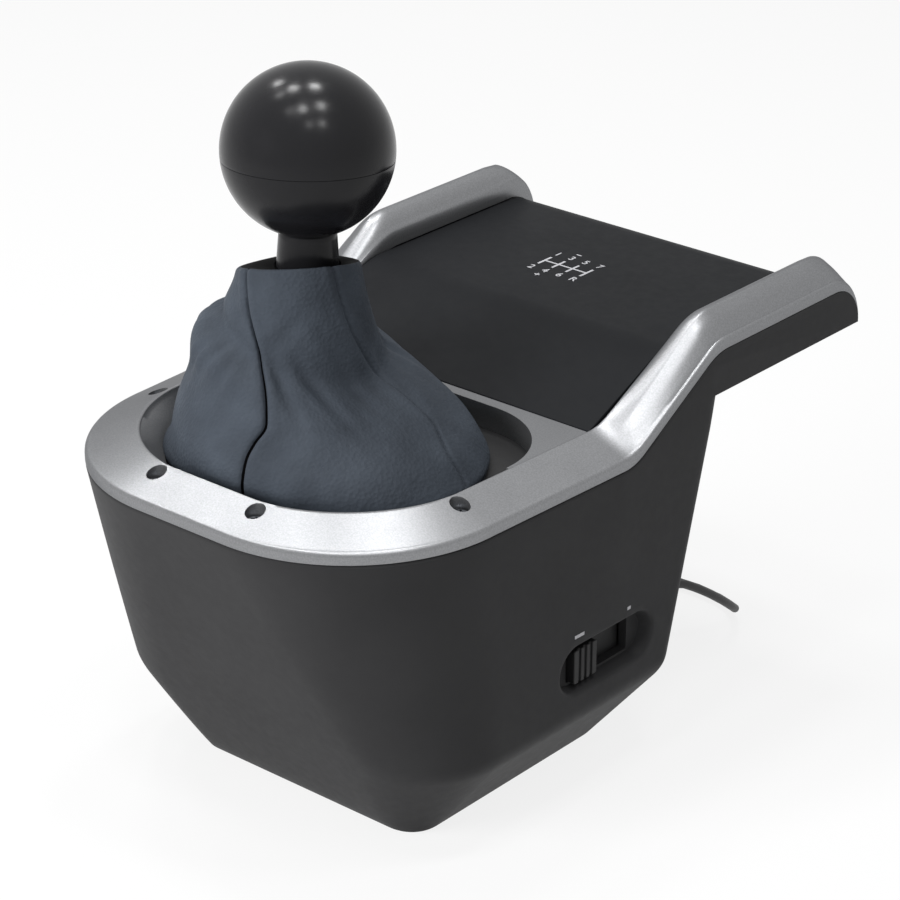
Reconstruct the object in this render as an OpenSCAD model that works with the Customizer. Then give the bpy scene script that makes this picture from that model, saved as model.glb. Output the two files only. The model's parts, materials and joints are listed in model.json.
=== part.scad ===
// Gear shifter for a racing simulator: a ball knob on a two-axis lever, a leather boot,
// a silver bezel with two rails, a black housing with a desk overhang, a mode slider and a lead.
// Millimetres. Origin on the floor, in the middle of the body. +X right, +Y to the desk, +Z up.

/* [Housing] */
// Half width of the housing at the rim
body_half_w = 75; // [72:0.5:82]
// How much each side draws in at the front corner of the rim
front_taper = 2.5; // [0:0.5:4]
// Wall thickness of the housing
wall = 3; // [2.5:0.1:3.5]
// Half width of the footprint on the floor
floor_half_w = 46.5; // [44:0.5:52]
// How much each side draws in from the rim to the top of the lower chamfer
side_draft = 3; // [1:0.1:6]
// Height of the top of the lower side chamfer
chamfer_z = 31.5; // [26:0.5:38]
// Height of the rim under the bezel
rim_z = 109.7; // [105:0.1:116]
// Reach of the rim ahead of the origin
front_reach = 118; // [114:0.5:126]
// Reach of the floor's front edge ahead of the origin
floor_front = 68.5; // [65:0.5:72]
// Shape of the front wall: 1 is straight, less is more bowed
front_bow = 0.78; // [0.7:0.01:1]
// Corner radius of the front at the rim
corner_r_rim = 55; // [45:1:60]
// Corner radius of the front at the floor
corner_r_floor = 8; // [6:1:14]
// Growth of the front corner radius with height: 1 is even, less grows sooner
corner_bow = 0.6; // [0.5:0.05:1]
// Reach of the floor's rear edge behind the origin
floor_rear = 19.5; // [18:0.5:26]
// Lean of the rear wall in degrees
rear_lean = 11.6; // [8:0.1:14]
// Corner radius of the rear wall
rear_corner_r = 6; // [4:0.5:10]
// Small edge break round the floor
floor_break = 1; // [0.5:0.1:2]

/* [Overhang] */
// Reach of the overhang behind the origin
rear_reach = 118; // [110:0.5:126]
// Height of the underside of the overhang
overhang_z = 119.7; // [116:0.1:122]
// Length of the rounded rear end
roll_len = 14; // [10:0.5:18]
// Thickness of the overhang floor
tray_t = 3; // [2.5:0.1:4]

/* [Bezel] */
// Width of the silver band in plan
band_w = 15; // [13:0.5:16]
// How much wider the band is in the front corners
band_swell = 2; // [0:0.1:3]
// Fall of the band from its inner to its outer edge
band_cant = 5.8; // [3:0.1:8]
// Height of the band's upright outer edge
band_edge = 3.5; // [2.5:0.1:5]
// Crown of the rails above the straight cant
rail_crown = 4; // [0:0.1:5]
// Reach of the sloping lip inside the boot opening
lip_reach = 4; // [2:0.1:5]
// Extra reach of the lip in the middle of the front corners
lip_corner = 3; // [0:0.1:3.5]
// Rise of the rails above the front band
rail_rise = 24; // [18:0.5:30]
// Where the slope of the rails begins
slope_y0 = 0; // [-4:0.5:6]
// Where the slope of the rails ends
slope_y1 = 40.5; // [36:0.5:46]
// Half length of the soft bend at each end of the slope
slope_ease = 5; // [2:0.5:8]
// Step of the boot opening inside the band, on each side
open_step = 0.5; // [0:0.1:1]
// Rear edge of the boot opening
open_rear_y = -8; // [-12:0.5:-6]
// Rear corner radius of the boot opening
open_rear_r = 30; // [20:1:40]
// Bezel screw: distance of the front pair from the middle
screw_front_x = 20; // [14:0.5:26]
// Bezel screw: distance of the side pair behind the front reach
screw_side_back = 52.5; // [46:0.5:56]
// Bezel screw: distance in from the band's inner edge
screw_inset = 4; // [3.8:0.1:6]
// Head diameter of the bezel screws
screw_head_d = 5.6; // [5:0.1:6]
// Depth of the bezel screw heads below the band
screw_sink = 2.6; // [2:0.1:4]

/* [Top panel] */
// Front edge of the black top panel
panel_front_y = -3.6; // [-5:0.1:-2]
// Where the panel bends from its slope to its flat
panel_bend_y = 31; // [26:0.5:36]
// Height of the panel's flat
panel_z = 133.5; // [131:0.5:138]
// Thickness of the panel
panel_t = 3; // [2.5:0.1:4]

/* [Lever] */
// Lever axis: distance ahead of the origin
lever_back = 48.5; // [44:0.5:52]
// Height of the gimbal pivot
pivot_z = 70; // [68:0.5:74]
// Lean of the lever to the left in the second gate column, in degrees
lean = 5; // [4:0.1:5.5]
// Distance of the knob's centre from the pivot
knob_dist = 133.9; // [128:0.1:142]
// Diameter of the ball knob
knob_d = 52; // [46:0.5:56]
// Angle of the knob's parting line below its middle
knob_split = 9; // [0:0.5:14]
// Wall of the knob shells
knob_wall = 3.5; // [3:0.1:5]
// Diameter of the steel lever shaft
shaft_d = 10; // [9:0.1:10.4]
// Diameter of the threaded stud in the knob
stud_d = 8; // [6:0.1:8.4]
// Neck diameter under the knob
neck_top_d = 17.4; // [16:0.1:19]
// Neck diameter on the boot
neck_foot_d = 19; // [18:0.1:21]
// Distance of the boot's top from the pivot
boot_top_dist = 98; // [94:0.5:100]

/* [Boot] */
// Thickness of the boot leather
boot_t = 2; // [1.5:0.1:2.5]
// Gap between the boot's foot and the bezel's lip
foot_gap = 2; // [1:0.1:3]
// Height of the fold between skirt and sleeve, at its middle
fold_z = 145; // [142:0.5:147]
// Rise of the fold from its middle to its left side
fold_lift = 8.5; // [4:0.5:10]
// Rise of the fold from its middle to its front
fold_front_lift = 2.5; // [0:0.5:4]
// Half width of the boot at the fold
fold_half_w = 24.5; // [23:0.5:27]
// Slump of the fold to the left of the lever
fold_slump = 6.5; // [2:0.5:9]
// Slump of the fold towards the front
fold_fore = 3.5; // [0:0.5:6]
// Half width of the sleeve under its top
sleeve_half_w = 18.6; // [18:0.1:21]
// Slump of the sleeve to the left of the lever
sleeve_slump = 4.5; // [1:0.5:5]
// Slump of the sleeve towards the front
sleeve_fore = 3.5; // [0:0.5:4]
// Rise of the sleeve's edge from its middle to where it stands highest
sleeve_lift = 5.5; // [0:0.5:6]
// Turn of that highest place, from the right towards the desk
sleeve_lift_turn = -50; // [-90:5:90]
// Thickness of the ring that clamps the boot
boot_ring_t = 2.5; // [2:0.1:4]
// Diameter of the collar inside the boot's top
boot_collar_d = 20; // [17:0.5:21]

/* [Gimbal] */
// Half width of the yoke ring
yoke_half_w = 21; // [20:0.5:24]
// Half length of the yoke ring
yoke_half_l = 15.5; // [15.5:0.1:17]
// Wall of the yoke ring
yoke_wall = 3.7; // [3.2:0.1:3.8]
// Height of the yoke ring
yoke_h = 13; // [12.5:0.5:15]
// Lever pin diameter
lever_pin_d = 7; // [6:0.1:7.4]
// Trunnion diameter
trunnion_d = 8; // [7:0.1:9]
// Wall of the bushes
bush_wall = 1.6; // [1.2:0.1:2]
// Flange thickness of the bushes
bush_flange = 1.2; // [0.8:0.1:1.4]
// Thickness of the gimbal frame
frame_t = 3; // [2.5:0.1:3.4]
// Half width of the gimbal frame's uprights
upright_half_w = 13; // [12:0.5:15]
// Half width of the gimbal frame's floor
frame_half_w = 30; // [29:0.5:33]
// Height of the gimbal frame's floor above the ground
frame_z = 9; // [8:0.5:11]
// Wire of the springs
spring_wire = 1.2; // [1:0.1:1.4]
// Turns of the springs
spring_turns = 4; // [3:1:5]

/* [Gate] */
// Angle between neighbouring gate columns, in degrees
column_pitch = 10; // [9:0.1:11]
// Throw of the lever each way, in degrees
throw_angle = 12; // [10:0.5:13]
// Height of the gate plate above the ground
gate_z = 20; // [19:0.5:22]
// Thickness of the gate plate
gate_t = 2.5; // [2:0.1:3]
// Selector pin diameter
gate_pin_d = 4; // [3:0.1:4.4]
// Roller diameter on the selector pin
roller_d = 5; // [4.8:0.1:5.2]
// Reach of the selector pin below the pivot
gate_pin_reach = 54; // [52:0.5:55]
// Room round the roller in the gate
gate_play = 0.6; // [0.4:0.1:0.8]

/* [Mode slider] */
// Middle of the slider window: distance ahead of the origin
window_back = 8.5; // [8:0.5:14]
// Height of the middle of the window
window_z = 49; // [48:0.5:54]
// Length of the window
window_len = 30; // [29:0.5:34]
// Height of the window
window_h = 12; // [10:0.5:13]
// Depth of the scooped recess
dish_depth = 4.5; // [3:0.1:5]
// Half height of the scooped recess
dish_r = 8.5; // [7.5:0.1:10]
// Length of the thumb piece
thumb_len = 11; // [9:0.5:13]
// Travel of the slider
mode_travel = 17; // [14:0.5:17]

/* [Base] */
// Thickness of the base plate
base_t = 3; // [2.5:0.1:4]
// Mount inserts: spacing across
mount_dx = 44; // [40:1:50]
// Mount inserts: spacing fore and aft
mount_dy = 50; // [40:1:52]
// Bore of the mount inserts
mount_bore = 5; // [4:0.1:6.6]
// Depth of the mount inserts
mount_depth = 6; // [5:0.5:6]

/* [Lead] */
// Diameter of the lead
cord_d = 3; // [2.6:0.1:3.1]
// Mean radius of the stored coil
coil_r = 18; // [18:0.5:19]
// Turns in each layer of the coil
coil_turns = 3.5; // [2.5:1:3.5]
// Gap between neighbouring turns
coil_gap = 0.5; // [0.45:0.05:0.6]

/* [Fits] */
// Running clearance, radial
run_gap = 0.05; // [0.02:0.01:0.1]
// Clearance of fixed pieces, radial
seat_gap = 0.03; // [0.02:0.01:0.1]
// Clearance of screws in plain holes, radial
hole_gap = 0.2; // [0.1:0.05:0.3]
// Clearance between neighbouring shells
shell_gap = 0.3; // [0.2:0.05:0.4]

/* [Hidden] */
$fn = 48;
eps = 0.01;

lever_y = -lever_back;
chamfer_half_w = body_half_w - side_draft;
bezel_z = rim_z + band_edge + band_cant;
roll_y = rear_reach - roll_len;
tray_rear_y = rear_reach - panel_t - 2 * shell_gap;
knob_r = knob_d / 2;
arc_y = -front_reach + corner_r_rim;
open_half_w = body_half_w - front_taper - band_w - open_step;
skirt_half_w = open_half_w - lip_reach - foot_gap;
panel_half_w = body_half_w - band_w - shell_gap;
panel_under_z = panel_z - panel_t;
// Upper reach of the knob's flat seat, measured from its centre
knob_seat = sqrt(pow(knob_r, 2) - pow(neck_top_d / 2, 2));
knob_foot_dist = knob_dist - knob_seat;

function lerp(a, b, t) = a + (b - a) * t;
function unit(t) = max(0, min(1, t));
// Straight ramp from 0 to 1 whose two bends are eased over a short length
function ramp(y, y0, y1, ease) =
  let (run = y1 - y0, s = y - y0,
       low = s <= -ease ? 0 : s >= ease ? s : pow(s + ease, 2) / (4 * ease),
       t = s - run,
       high = t <= -ease ? 0 : t >= ease ? t : pow(t + ease, 2) / (4 * ease))
  (low - high) / run;

// Outline of the housing at each height
function half_w_at(z) = z < chamfer_z
  ? lerp(floor_half_w, chamfer_half_w, z / chamfer_z)
  : lerp(chamfer_half_w, body_half_w, unit((z - chamfer_z) / (rim_z - chamfer_z)));
function front_at(z) = -lerp(floor_front, front_reach, pow(unit(z / rim_z), front_bow));
function rear_at(z) = floor_rear + z * tan(rear_lean);
function corner_r_at(z) = lerp(corner_r_floor, corner_r_rim, pow(unit(z / rim_z), corner_bow));
function taper_at(z) = front_taper * unit(z / rim_z);
function rise_at(y) = rail_rise * ramp(y, slope_y0, slope_y1, slope_ease);

// Loft through rings of equal length, capped at its ends or closed on itself
module loft(rings, loop = false) {
  rows = len(rings);
  cols = len(rings[0]);
  spans = loop ? rows : rows - 1;
  sides = [for (i = [0 : spans - 1], j = [0 : cols - 1])
    let (a = i * cols + j, b = i * cols + (j + 1) % cols,
         c = ((i + 1) % rows) * cols + j, d = ((i + 1) % rows) * cols + (j + 1) % cols)
    each [[a, c, d], [a, d, b]]];
  caps = loop ? [] : [
    [for (j = [0 : cols - 1]) j],
    [for (j = [cols - 1 : -1 : 0]) (rows - 1) * cols + j]];
  polyhedron(points = [for (r = rings) each r], faces = concat(sides, caps), convexity = 8);
}

// Half ring mirrored into a whole ring, running front, right, rear, left
function mirrored(half) =
  concat(half, [for (i = [len(half) - 1 : -1 : 0]) [-half[i][0], half[i][1], half[i][2]]]);

// Helix along +Z whose ends run straight for one wire diameter
function helix(r, pitch, turns, wire) =
  let (steps = turns * 8)
  concat([[r, 0, 0]],
    [for (i = [0 : steps]) let (a = i * 45) [r * cos(a), r * sin(a), wire + i * pitch / 8]],
    [[r * cos(turns * 360), r * sin(turns * 360), 2 * wire + turns * pitch]]);

// Rings of a tube along a path
function unit_vec(v) = v / norm(v);
function path_dir(p, i) = unit_vec(p[min(i + 1, len(p) - 1)] - p[max(i - 1, 0)]);
function tube_ring(c, d, r, sides) =
  let (ref = abs(d[2]) > 0.9 ? [1, 0, 0] : [0, 0, 1], u = unit_vec(cross(ref, d)), v = cross(d, u))
  [for (k = [0 : sides - 1]) let (a = (k + 0.5) * 360 / sides) c + r * (cos(a) * u + sin(a) * v)];
function tube_rings(p, r, sides) = [for (i = [0 : len(p) - 1]) tube_ring(p[i], path_dir(p, i), r, sides)];

// Rounded plate outline from squares and circles
module plate2d(half_x, half_y, r) {
  square([2 * half_x, 2 * (half_y - r)], center = true);
  square([2 * (half_x - r), 2 * half_y], center = true);
  for (x = [-1, 1], y = [-1, 1]) translate([x * (half_x - r), y * (half_y - r)]) circle(r);
}
module tube(od, id, h) {
  difference() {
    cylinder(d = od, h = h);
    translate([0, 0, -1]) cylinder(d = id, h = h + 2);
  }
}
// Pan head screw, head seated at z = 0 with its shank below
module screw(head_d, head_h, shank_d, shank_l) {
  cylinder(d = head_d, h = head_h);
  translate([0, 0, -shank_l]) cylinder(d = shank_d, h = shank_l + eps);
}

module at_pivot() { translate([0, lever_y, pivot_z]) children(); }
module lever_frame() { at_pivot() rotate([0, -lean, 0]) children(); }
module along_y() { rotate([-90, 0, 0]) children(); }
module along_x() { rotate([0, 90, 0]) children(); }

// Housing
ring_levels = [0, floor_break * 1.2, 8, 18, chamfer_z, 50, 70, 90];
corner_steps = 12;
function housing_half(z, inset, rim) =
  let (wf = half_w_at(z) - taper_at(z) - inset, wr = half_w_at(z) - inset,
       r = corner_r_at(z) - inset, yf = front_at(z) + inset, yr = rear_at(z) - inset,
       rr = rear_corner_r - min(inset, rear_corner_r - 1))
  concat(
    [for (i = [0 : corner_steps]) let (a = -90 + i * 90 / corner_steps)
      [wf - r + r * cos(a), yf + r + r * sin(a), z]],
    [for (y = rim ? side_stations : [for (s = side_stations) min(s, yr - rr - 1)])
      [wr, y, rim ? z + rise_at(y) : z]],
    [for (i = [0 : 3]) let (a = i * 30)
      [wr - rr + rr * cos(a), rear_rim(yr, rim) - rr + rr * sin(a), rim ? rear_rim_z : z]]);
side_stations = [for (k = [-1, -0.4, 0.4, 1]) slope_y0 + k * slope_ease];
rear_rim_z = panel_under_z - shell_gap;
function rear_rim(yr, rim) = rim ? yr + (rear_rim_z - rim_z) * tan(rear_lean) : yr;
function housing_rings(inset) = concat(
  [for (z = ring_levels) mirrored(housing_half(z, inset + (z == 0 ? floor_break : 0), false))],
  [mirrored(housing_half(rim_z, inset, true))]);
function reversed(v) = [for (i = [len(v) - 1 : -1 : 0]) v[i]];

// Side profile of the overhang's cheeks, up to the rails
cheek_profile = concat(
  [[rear_at(overhang_z) - 2 * wall, overhang_z], [rear_reach - eps, overhang_z]],
  [for (a = [80 : -16 : 0])
    [roll_y + roll_len * sin(a), overhang_z + (rim_z + rail_rise - overhang_z) * cos(a)]],
  [for (y = [slope_y1 + slope_ease, slope_y1, slope_y1 - slope_ease]) [y, rim_z + rise_at(y)]],
  [[slope_y0 + slope_ease, rim_z + rise_at(slope_y0 + slope_ease)]]);

module side_plate(x0, x1, outline) {
  translate([x0, 0, 0]) rotate([90, 0, 90]) linear_extrude(x1 - x0) polygon(outline);
}

// Screw places of the bezel, seen from above
side_screw_y = -front_reach + screw_side_back;
bezel_screw_spots = [for (s = [-1, 1]) each [
  [s * screw_front_x, -front_reach + band_w - screw_inset],
  [s * (body_half_w - front_taper - band_w + screw_inset), side_screw_y]]];
bezel_boss_h = 12;
bezel_boss_d = 7;

// Base screws sit in bosses with a web to the slanting wall
base_boss_x = 36;
base_boss_rows = [-50, -20, 9];
base_boss_d = 7;
base_boss_h = 14;
base_screw_d = 2.6;
base_screw_l = 11;
base_head_d = 5.6;
base_head_h = 1.4;
base_head_seat = 1.6;

dish_y0 = -window_back - window_len / 2;
dish_y1 = -window_back + window_len / 2;
dish_x = half_w_at(window_z);
pad_x = dish_x - dish_depth - wall;
pad_half_h = window_h / 2 + 5;
carriage_t = 3;
board_post_d = 6;
board_post_gap = 1;
board_post_z = [for (s = [-1, 1]) window_z + s * (pad_half_h + board_post_d / 2 + board_post_gap)];
switch_depth = 15;
board_t = 1.6;
small_screw_d = 2;
small_screw_l = 5;
small_head_d = 4;
small_head_h = 1.5;
switch_board_x = pad_x - switch_depth;
gland_d = 7;

module dish_cut() {
  hull() for (y = [dish_y0 + 1, dish_y1 - 1]) translate([dish_x - dish_depth, y, window_z])
    along_x() cylinder(r1 = dish_r - 2.5, r2 = dish_r + 1, h = dish_depth + 2, $fn = 32);
}
module housing_boss_webs() {
  for (s = [-1, 1], y = base_boss_rows) {
    translate([s * base_boss_x, y, base_t + shell_gap]) cylinder(d = base_boss_d, h = base_boss_h);
    mirror([s < 0 ? 1 : 0, 0, 0]) translate([0, y + 1, 0]) rotate([90, 0, 0]) linear_extrude(2)
      polygon([[base_boss_x, base_t + shell_gap], [half_w_at(base_t) - wall / 2, base_t + shell_gap],
        [half_w_at(base_t + base_boss_h) - wall / 2, base_t + base_boss_h],
        [base_boss_x, base_t + base_boss_h]]);
  }
}
module lower_housing() {
  color("#1c1c1e") difference() {
    union() {
      loft(concat(housing_rings(0), reversed(housing_rings(wall))), loop = true);
      for (s = [0, 1]) mirror([s, 0, 0]) side_plate(body_half_w - wall, body_half_w, cheek_profile);
      translate([-body_half_w + eps, rear_at(overhang_z) - wall, overhang_z])
        cube([2 * body_half_w - 2 * eps, tray_rear_y - rear_at(overhang_z) + wall, tray_t]);
      for (x = [-1, 0, 1])
        translate([x * body_half_w / 2 - 1, rear_at(overhang_z) + 2 * wall, overhang_z + eps])
          cube([2, roll_y - rear_at(overhang_z) - 4 * wall, panel_under_z - overhang_z - eps]);
      for (p = bezel_screw_spots) translate([p[0], p[1], rim_z - bezel_boss_h])
        cylinder(d = bezel_boss_d, h = bezel_boss_h);
      for (s = [-1, 1]) {
        translate([s * (body_half_w - front_taper - wall - 4.5), side_screw_y, rim_z - bezel_boss_h / 2 - 0.5])
          cube([10, 2, bezel_boss_h - 1], center = true);
        translate([s * screw_front_x - 1, -front_reach + wall + 1.5, rim_z - bezel_boss_h])
          cube([2, band_w - screw_inset - wall, bezel_boss_h - 1]);
      }
      housing_boss_webs();
      translate([pad_x, dish_y0 - dish_r - 4, window_z - pad_half_h])
        cube([dish_depth + wall / 2, window_len + 2 * dish_r + 8, 2 * pad_half_h]);
      for (s = [-1, 1]) translate([pad_x - carriage_t - 1, dish_y0 - dish_r - 4,
          window_z + s * (pad_half_h - 1.2) - 1.2])
        cube([carriage_t + 1 + eps, window_len + 2 * dish_r + 8, 2.4]);
      for (z = board_post_z) translate([switch_board_x + board_t, -window_back, z])
        along_x() cylinder(d = board_post_d, h = half_w_at(z) - wall / 2 - switch_board_x - board_t);
    }
    dish_cut();
    translate([pad_x - 1, dish_y0, window_z - window_h / 2])
      cube([dish_depth + wall + 2, window_len, window_h]);
    for (p = bezel_screw_spots) translate([p[0], p[1], rim_z - bezel_boss_h + 1.5])
      cylinder(d = base_screw_d, h = bezel_boss_h);
    for (s = [-1, 1], y = base_boss_rows) translate([s * base_boss_x, y, base_t])
      cylinder(d = base_screw_d, h = base_boss_h - 2);
    for (z = board_post_z) translate([switch_board_x, -window_back, z]) along_x()
      cylinder(d = small_screw_d, h = 2 * small_screw_l);
    translate([exit_x, rear_at(exit_z) - 12, exit_z]) along_y() cylinder(d = gland_d, h = 24);
    for (s = [-1, 1]) translate([s * pad_strip_x - pad_strip_w / 2, pad_strip_y, overhang_z - 1])
      cube([pad_strip_w, pad_strip_l, 1 + pad_sink]);
  }
}

pad_strip_w = 40;
pad_strip_l = 12;
pad_inset = 10;
pad_strip_x = body_half_w - wall - pad_inset - pad_strip_w / 2;
pad_strip_y = roll_y - pad_inset - pad_strip_l;
pad_sink = 1;
pad_proud = 0.8;
module desk_pads() {
  color("#101010") for (s = [-1, 1])
    translate([s * pad_strip_x, pad_strip_y + pad_strip_l / 2, overhang_z - pad_proud])
      linear_extrude(pad_sink + pad_proud) plate2d(pad_strip_w / 2 - shell_gap, pad_strip_l / 2 - shell_gap, 3);
}

// Base plate and its fasteners
base_outline = [for (p = mirrored(housing_half(0, wall + floor_break + shell_gap, false))) [p[0], p[1]]];
mount_y = (floor_rear - floor_front) / 2;
mount_spots = [for (x = [-1, 1], y = [-1, 1]) [x * mount_dx / 2, mount_y + y * mount_dy / 2]];
frame_foot_x = 16;
frame_foot_y = 13;
frame_foot_d = 8;
frame_spots = [for (x = [-1, 1], y = [-1, 1]) [x * frame_foot_x, lever_y + y * frame_foot_y]];
main_board_z = 9;
board_half_w = 30;
board_half_l = 15;
board_y = 0.5;
board_spots = [for (x = [-1, 1], y = [-1, 1]) [x * (board_half_w - 3), board_y + y * (board_half_l - 3)]];
module base_plate() {
  color("#202022") difference() {
    union() {
      linear_extrude(base_t) polygon(base_outline);
      for (p = frame_spots) translate(p) cylinder(d = frame_foot_d, h = frame_z);
      for (p = board_spots) translate(p) cylinder(d = 5, h = main_board_z);
      for (p = mount_spots) translate(p) cylinder(d = mount_bore + 6, h = mount_depth + 1);
    }
    for (p = frame_spots) translate([p[0], p[1], base_t]) cylinder(d = frame_screw_d, h = frame_z);
    for (p = board_spots) translate([p[0], p[1], base_t]) cylinder(d = small_screw_d, h = main_board_z);
    for (p = mount_spots) translate([p[0], p[1], -1]) cylinder(d = mount_bore + 2.4, h = mount_depth + 1);
    for (s = [-1, 1], y = base_boss_rows) translate([s * base_boss_x, y, -1]) {
      cylinder(d = base_screw_d + 2 * shell_gap, h = base_t + 2);
      cylinder(d = base_head_d + 2 * shell_gap, h = 1 + base_head_seat);
    }
  }
}
module base_screws() {
  color("#6c6c70") for (s = [-1, 1], y = base_boss_rows) translate([s * base_boss_x, y, base_head_seat])
    mirror([0, 0, 1]) screw(base_head_d, base_head_h, base_screw_d - 2 * seat_gap, base_screw_l);
}
module mount_inserts() {
  color("#b8923c") for (p = mount_spots) translate(p)
    tube(mount_bore + 2.4 - 2 * seat_gap, mount_bore, mount_depth - 0.5);
}

// Silver bezel: a canted band swept from rail end to rail end, with a flat deck behind the boot
function band_out_x(y) = body_half_w - front_taper * unit((slope_y0 - y) / (slope_y0 - arc_y));
rail_stations = concat(
  [for (a = [82 : -16.4 : 0]) roll_y + roll_len * sin(a)],
  [(roll_y + slope_y1) / 2],
  [for (k = [1, 0.4, -0.4, -1]) slope_y1 + k * slope_ease],
  [for (k = [1, 0.4, -0.4, -1]) slope_y0 + k * slope_ease],
  [for (k = [0.2, 0.35, 0.6]) lerp(slope_y0, arc_y, k)]);
// How far the section has rolled down at the rear ends, as a share of its height
function roll_share(y) = y <= roll_y ? 1 : sqrt(max(0, 1 - pow((y - roll_y) / roll_len, 2)));
function band_z(y, dz) =
  let (z = rim_z + rise_at(y) + dz) y <= roll_y ? z : overhang_z + (z - overhang_z) * roll_share(y);
edge_round = 1.2;
edge_drop = 0.9;
lip_base = 1.5;
wall_draft = 0.2;
crown_fade = 16;
lip_fade = 14;
// Share of the crown along the rails, and of the lip along the opening
function crown_at(y) = ramp(y, slope_y0, slope_y1, slope_ease) * unit((rear_reach - y) / crown_fade);
function lip_at(y) = unit((open_rear_y - y) / lip_fade);
function cant_z(s) = band_edge + band_cant * s / band_w;
// Section across the band: distance in from the outer edge, and height above the rim
function band_section(crown, lip) = let (w = band_w, c = rail_crown * crown, l = lip_reach * lip) [
  [0, 0], [0, band_edge - edge_round], [edge_round * 0.35, band_edge - edge_round * 0.3],
  [edge_round, cant_z(edge_round)], [w * 0.35, cant_z(w * 0.35) + c * 0.75], [w * 0.62, cant_z(w * 0.62) + c],
  [w * 0.85, cant_z(w * 0.85) + c * 0.7], [w - 0.6, cant_z(w) - edge_drop * 0.3 + c * 0.1],
  [w, cant_z(w) - edge_drop], [w + l - wall_draft * max(0, 1 - lip), lip_base],
  [w + l, 0]];
function swell_at(s, a) = s[0] + min(1, s[0] / band_w) * band_swell * sin(2 * a);
band_half = concat(
  [for (y = rail_stations) [for (s = band_section(crown_at(y), lip_at(y)))
    [band_out_x(y) - s[0], y, band_z(y, s[1])]]],
  [for (i = [0 : corner_steps]) let (a = i * 90 / corner_steps)
    [for (s = band_section(0, 1 + lip_corner / lip_reach * sin(2 * a))) let (r = corner_r_rim - swell_at(s, a))
      [body_half_w - front_taper - corner_r_rim + r * cos(a), arc_y - r * sin(a), rim_z + s[1]]]]);
function flip_x(ring) = [for (p = ring) [-p[0], p[1], p[2]]];
band_rings = concat(band_half, [for (i = [len(band_half) - 1 : -1 : 0]) flip_x(band_half[i])]);
module boot_opening2d(grow) {
  half_w = open_half_w + grow;
  r = open_rear_r + grow;
  rear = open_rear_y + grow;
  translate([-half_w, arc_y - 1]) square([2 * half_w, rear - r - arc_y + 1]);
  for (s = [-1, 1]) translate([s * (half_w - r), rear - r]) circle(r, $fn = 96);
  translate([-half_w + r, rear - r - 1]) square([2 * (half_w - r), r + 1]);
}
deck_drop = 0.1;
module bezel_deck() {
  lap = 1.2;
  y0 = open_rear_y - open_rear_r - lap;
  y1 = panel_front_y - shell_gap;
  in_front = band_out_x(y0) - band_w + lap;
  in_rear = band_out_x(y1) - band_w + lap;
  translate([0, 0, rim_z]) linear_extrude(bezel_z - edge_drop - deck_drop - rim_z) difference() {
    polygon([[-in_front, y0], [in_front, y0], [in_rear, y1], [-in_rear, y1]]);
    boot_opening2d(0);
  }
}
function band_z_at_screw() = bezel_z - band_cant * screw_inset / band_w;
bezel_head_h = 2;
bezel_screw_l = 9;
module top_bezel() {
  color("#c4c6c9") difference() {
    union() {
      loft(band_rings);
      bezel_deck();
    }
    for (p = bezel_screw_spots) translate([p[0], p[1], rim_z - 1]) {
      cylinder(d = 3, h = 30);
      translate([0, 0, 1 + band_z_at_screw() - rim_z - screw_sink - bezel_head_h])
        cylinder(d = screw_head_d + 2 * shell_gap, h = 30);
    }
    for (p = ring_spots) translate([p[0], p[1], rim_z - 1])
      cylinder(d = ring_screw_d, h = ring_screw_grip + 1.5);
  }
}
module bezel_screws() {
  z = band_z_at_screw() - screw_sink - bezel_head_h;
  color("#3a3a3c") for (p = bezel_screw_spots) translate([p[0], p[1], z])
    screw(screw_head_d, bezel_head_h, base_screw_d - 2 * seat_gap, bezel_screw_l);
}

// Black top panel: one bent sheet between the rails
panel_front_z = bezel_z - edge_drop;
panel_roll_h = panel_z - overhang_z;
panel_ease = 6;
module top_panel() {
  upper = concat(
    [[panel_front_y, panel_front_z]],
    [for (k = [-1 : 0.5 : 1]) [panel_bend_y + k * panel_ease,
      panel_front_z + (panel_z - panel_front_z)
        * (ramp(panel_bend_y + k * panel_ease, panel_front_y, panel_bend_y, panel_ease))]],
    [for (a = [0 : 12 : 84]) [roll_y + (roll_len - shell_gap) * sin(a), overhang_z + panel_roll_h * cos(a)]]);
  lower = concat(
    [for (a = [72 : -12 : 0]) [roll_y + (roll_len - shell_gap - panel_t) * sin(a),
      overhang_z + tray_t + shell_gap + (panel_roll_h - panel_t - tray_t - shell_gap) * cos(a)]],
    [[panel_bend_y + panel_t / 2, panel_under_z], [panel_front_y, panel_front_z - panel_t]]);
  color("#1a1b1f") side_plate(-panel_half_w, panel_half_w, concat(upper, lower));
}

// Boot: a skirt from the opening up to a fold, and a sleeve from the fold up to the neck
boot_points = 40;
function sq(v, n) = sign(v) * pow(abs(v), 2 / n);
function fold_rise(t) = -fold_lift * cos(t) - fold_front_lift * sin(t);
function edge_rise(t) = sleeve_lift * cos(t - sleeve_lift_turn);
// A ring round the boot, with its shares of the fold's and the sleeve edge's rise
function boot_ring_at(cx, cy, a, b, n, z, fold = 0, edge = 0) =
  [for (k = [0 : boot_points - 1]) let (t = -90 + (k + 0.5) * 360 / boot_points)
    [cx + a * sq(cos(t), n), cy + b * sq(sin(t), n), z + fold * fold_rise(t) + edge * edge_rise(t)]];
foot_front_y = -front_reach + band_w + lip_reach + foot_gap;
foot_rear_y = open_rear_y - foot_gap;
foot_mid_y = (foot_front_y + foot_rear_y) / 2;
foot_half_l = (foot_rear_y - foot_front_y) / 2;
function lever_x(z) = -(z - pivot_z) * tan(lean);
fold_x = lever_x(fold_z) - fold_slump;
fold_y = lever_y - fold_fore;
boot_foot_z = rim_z + shell_gap;
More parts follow.
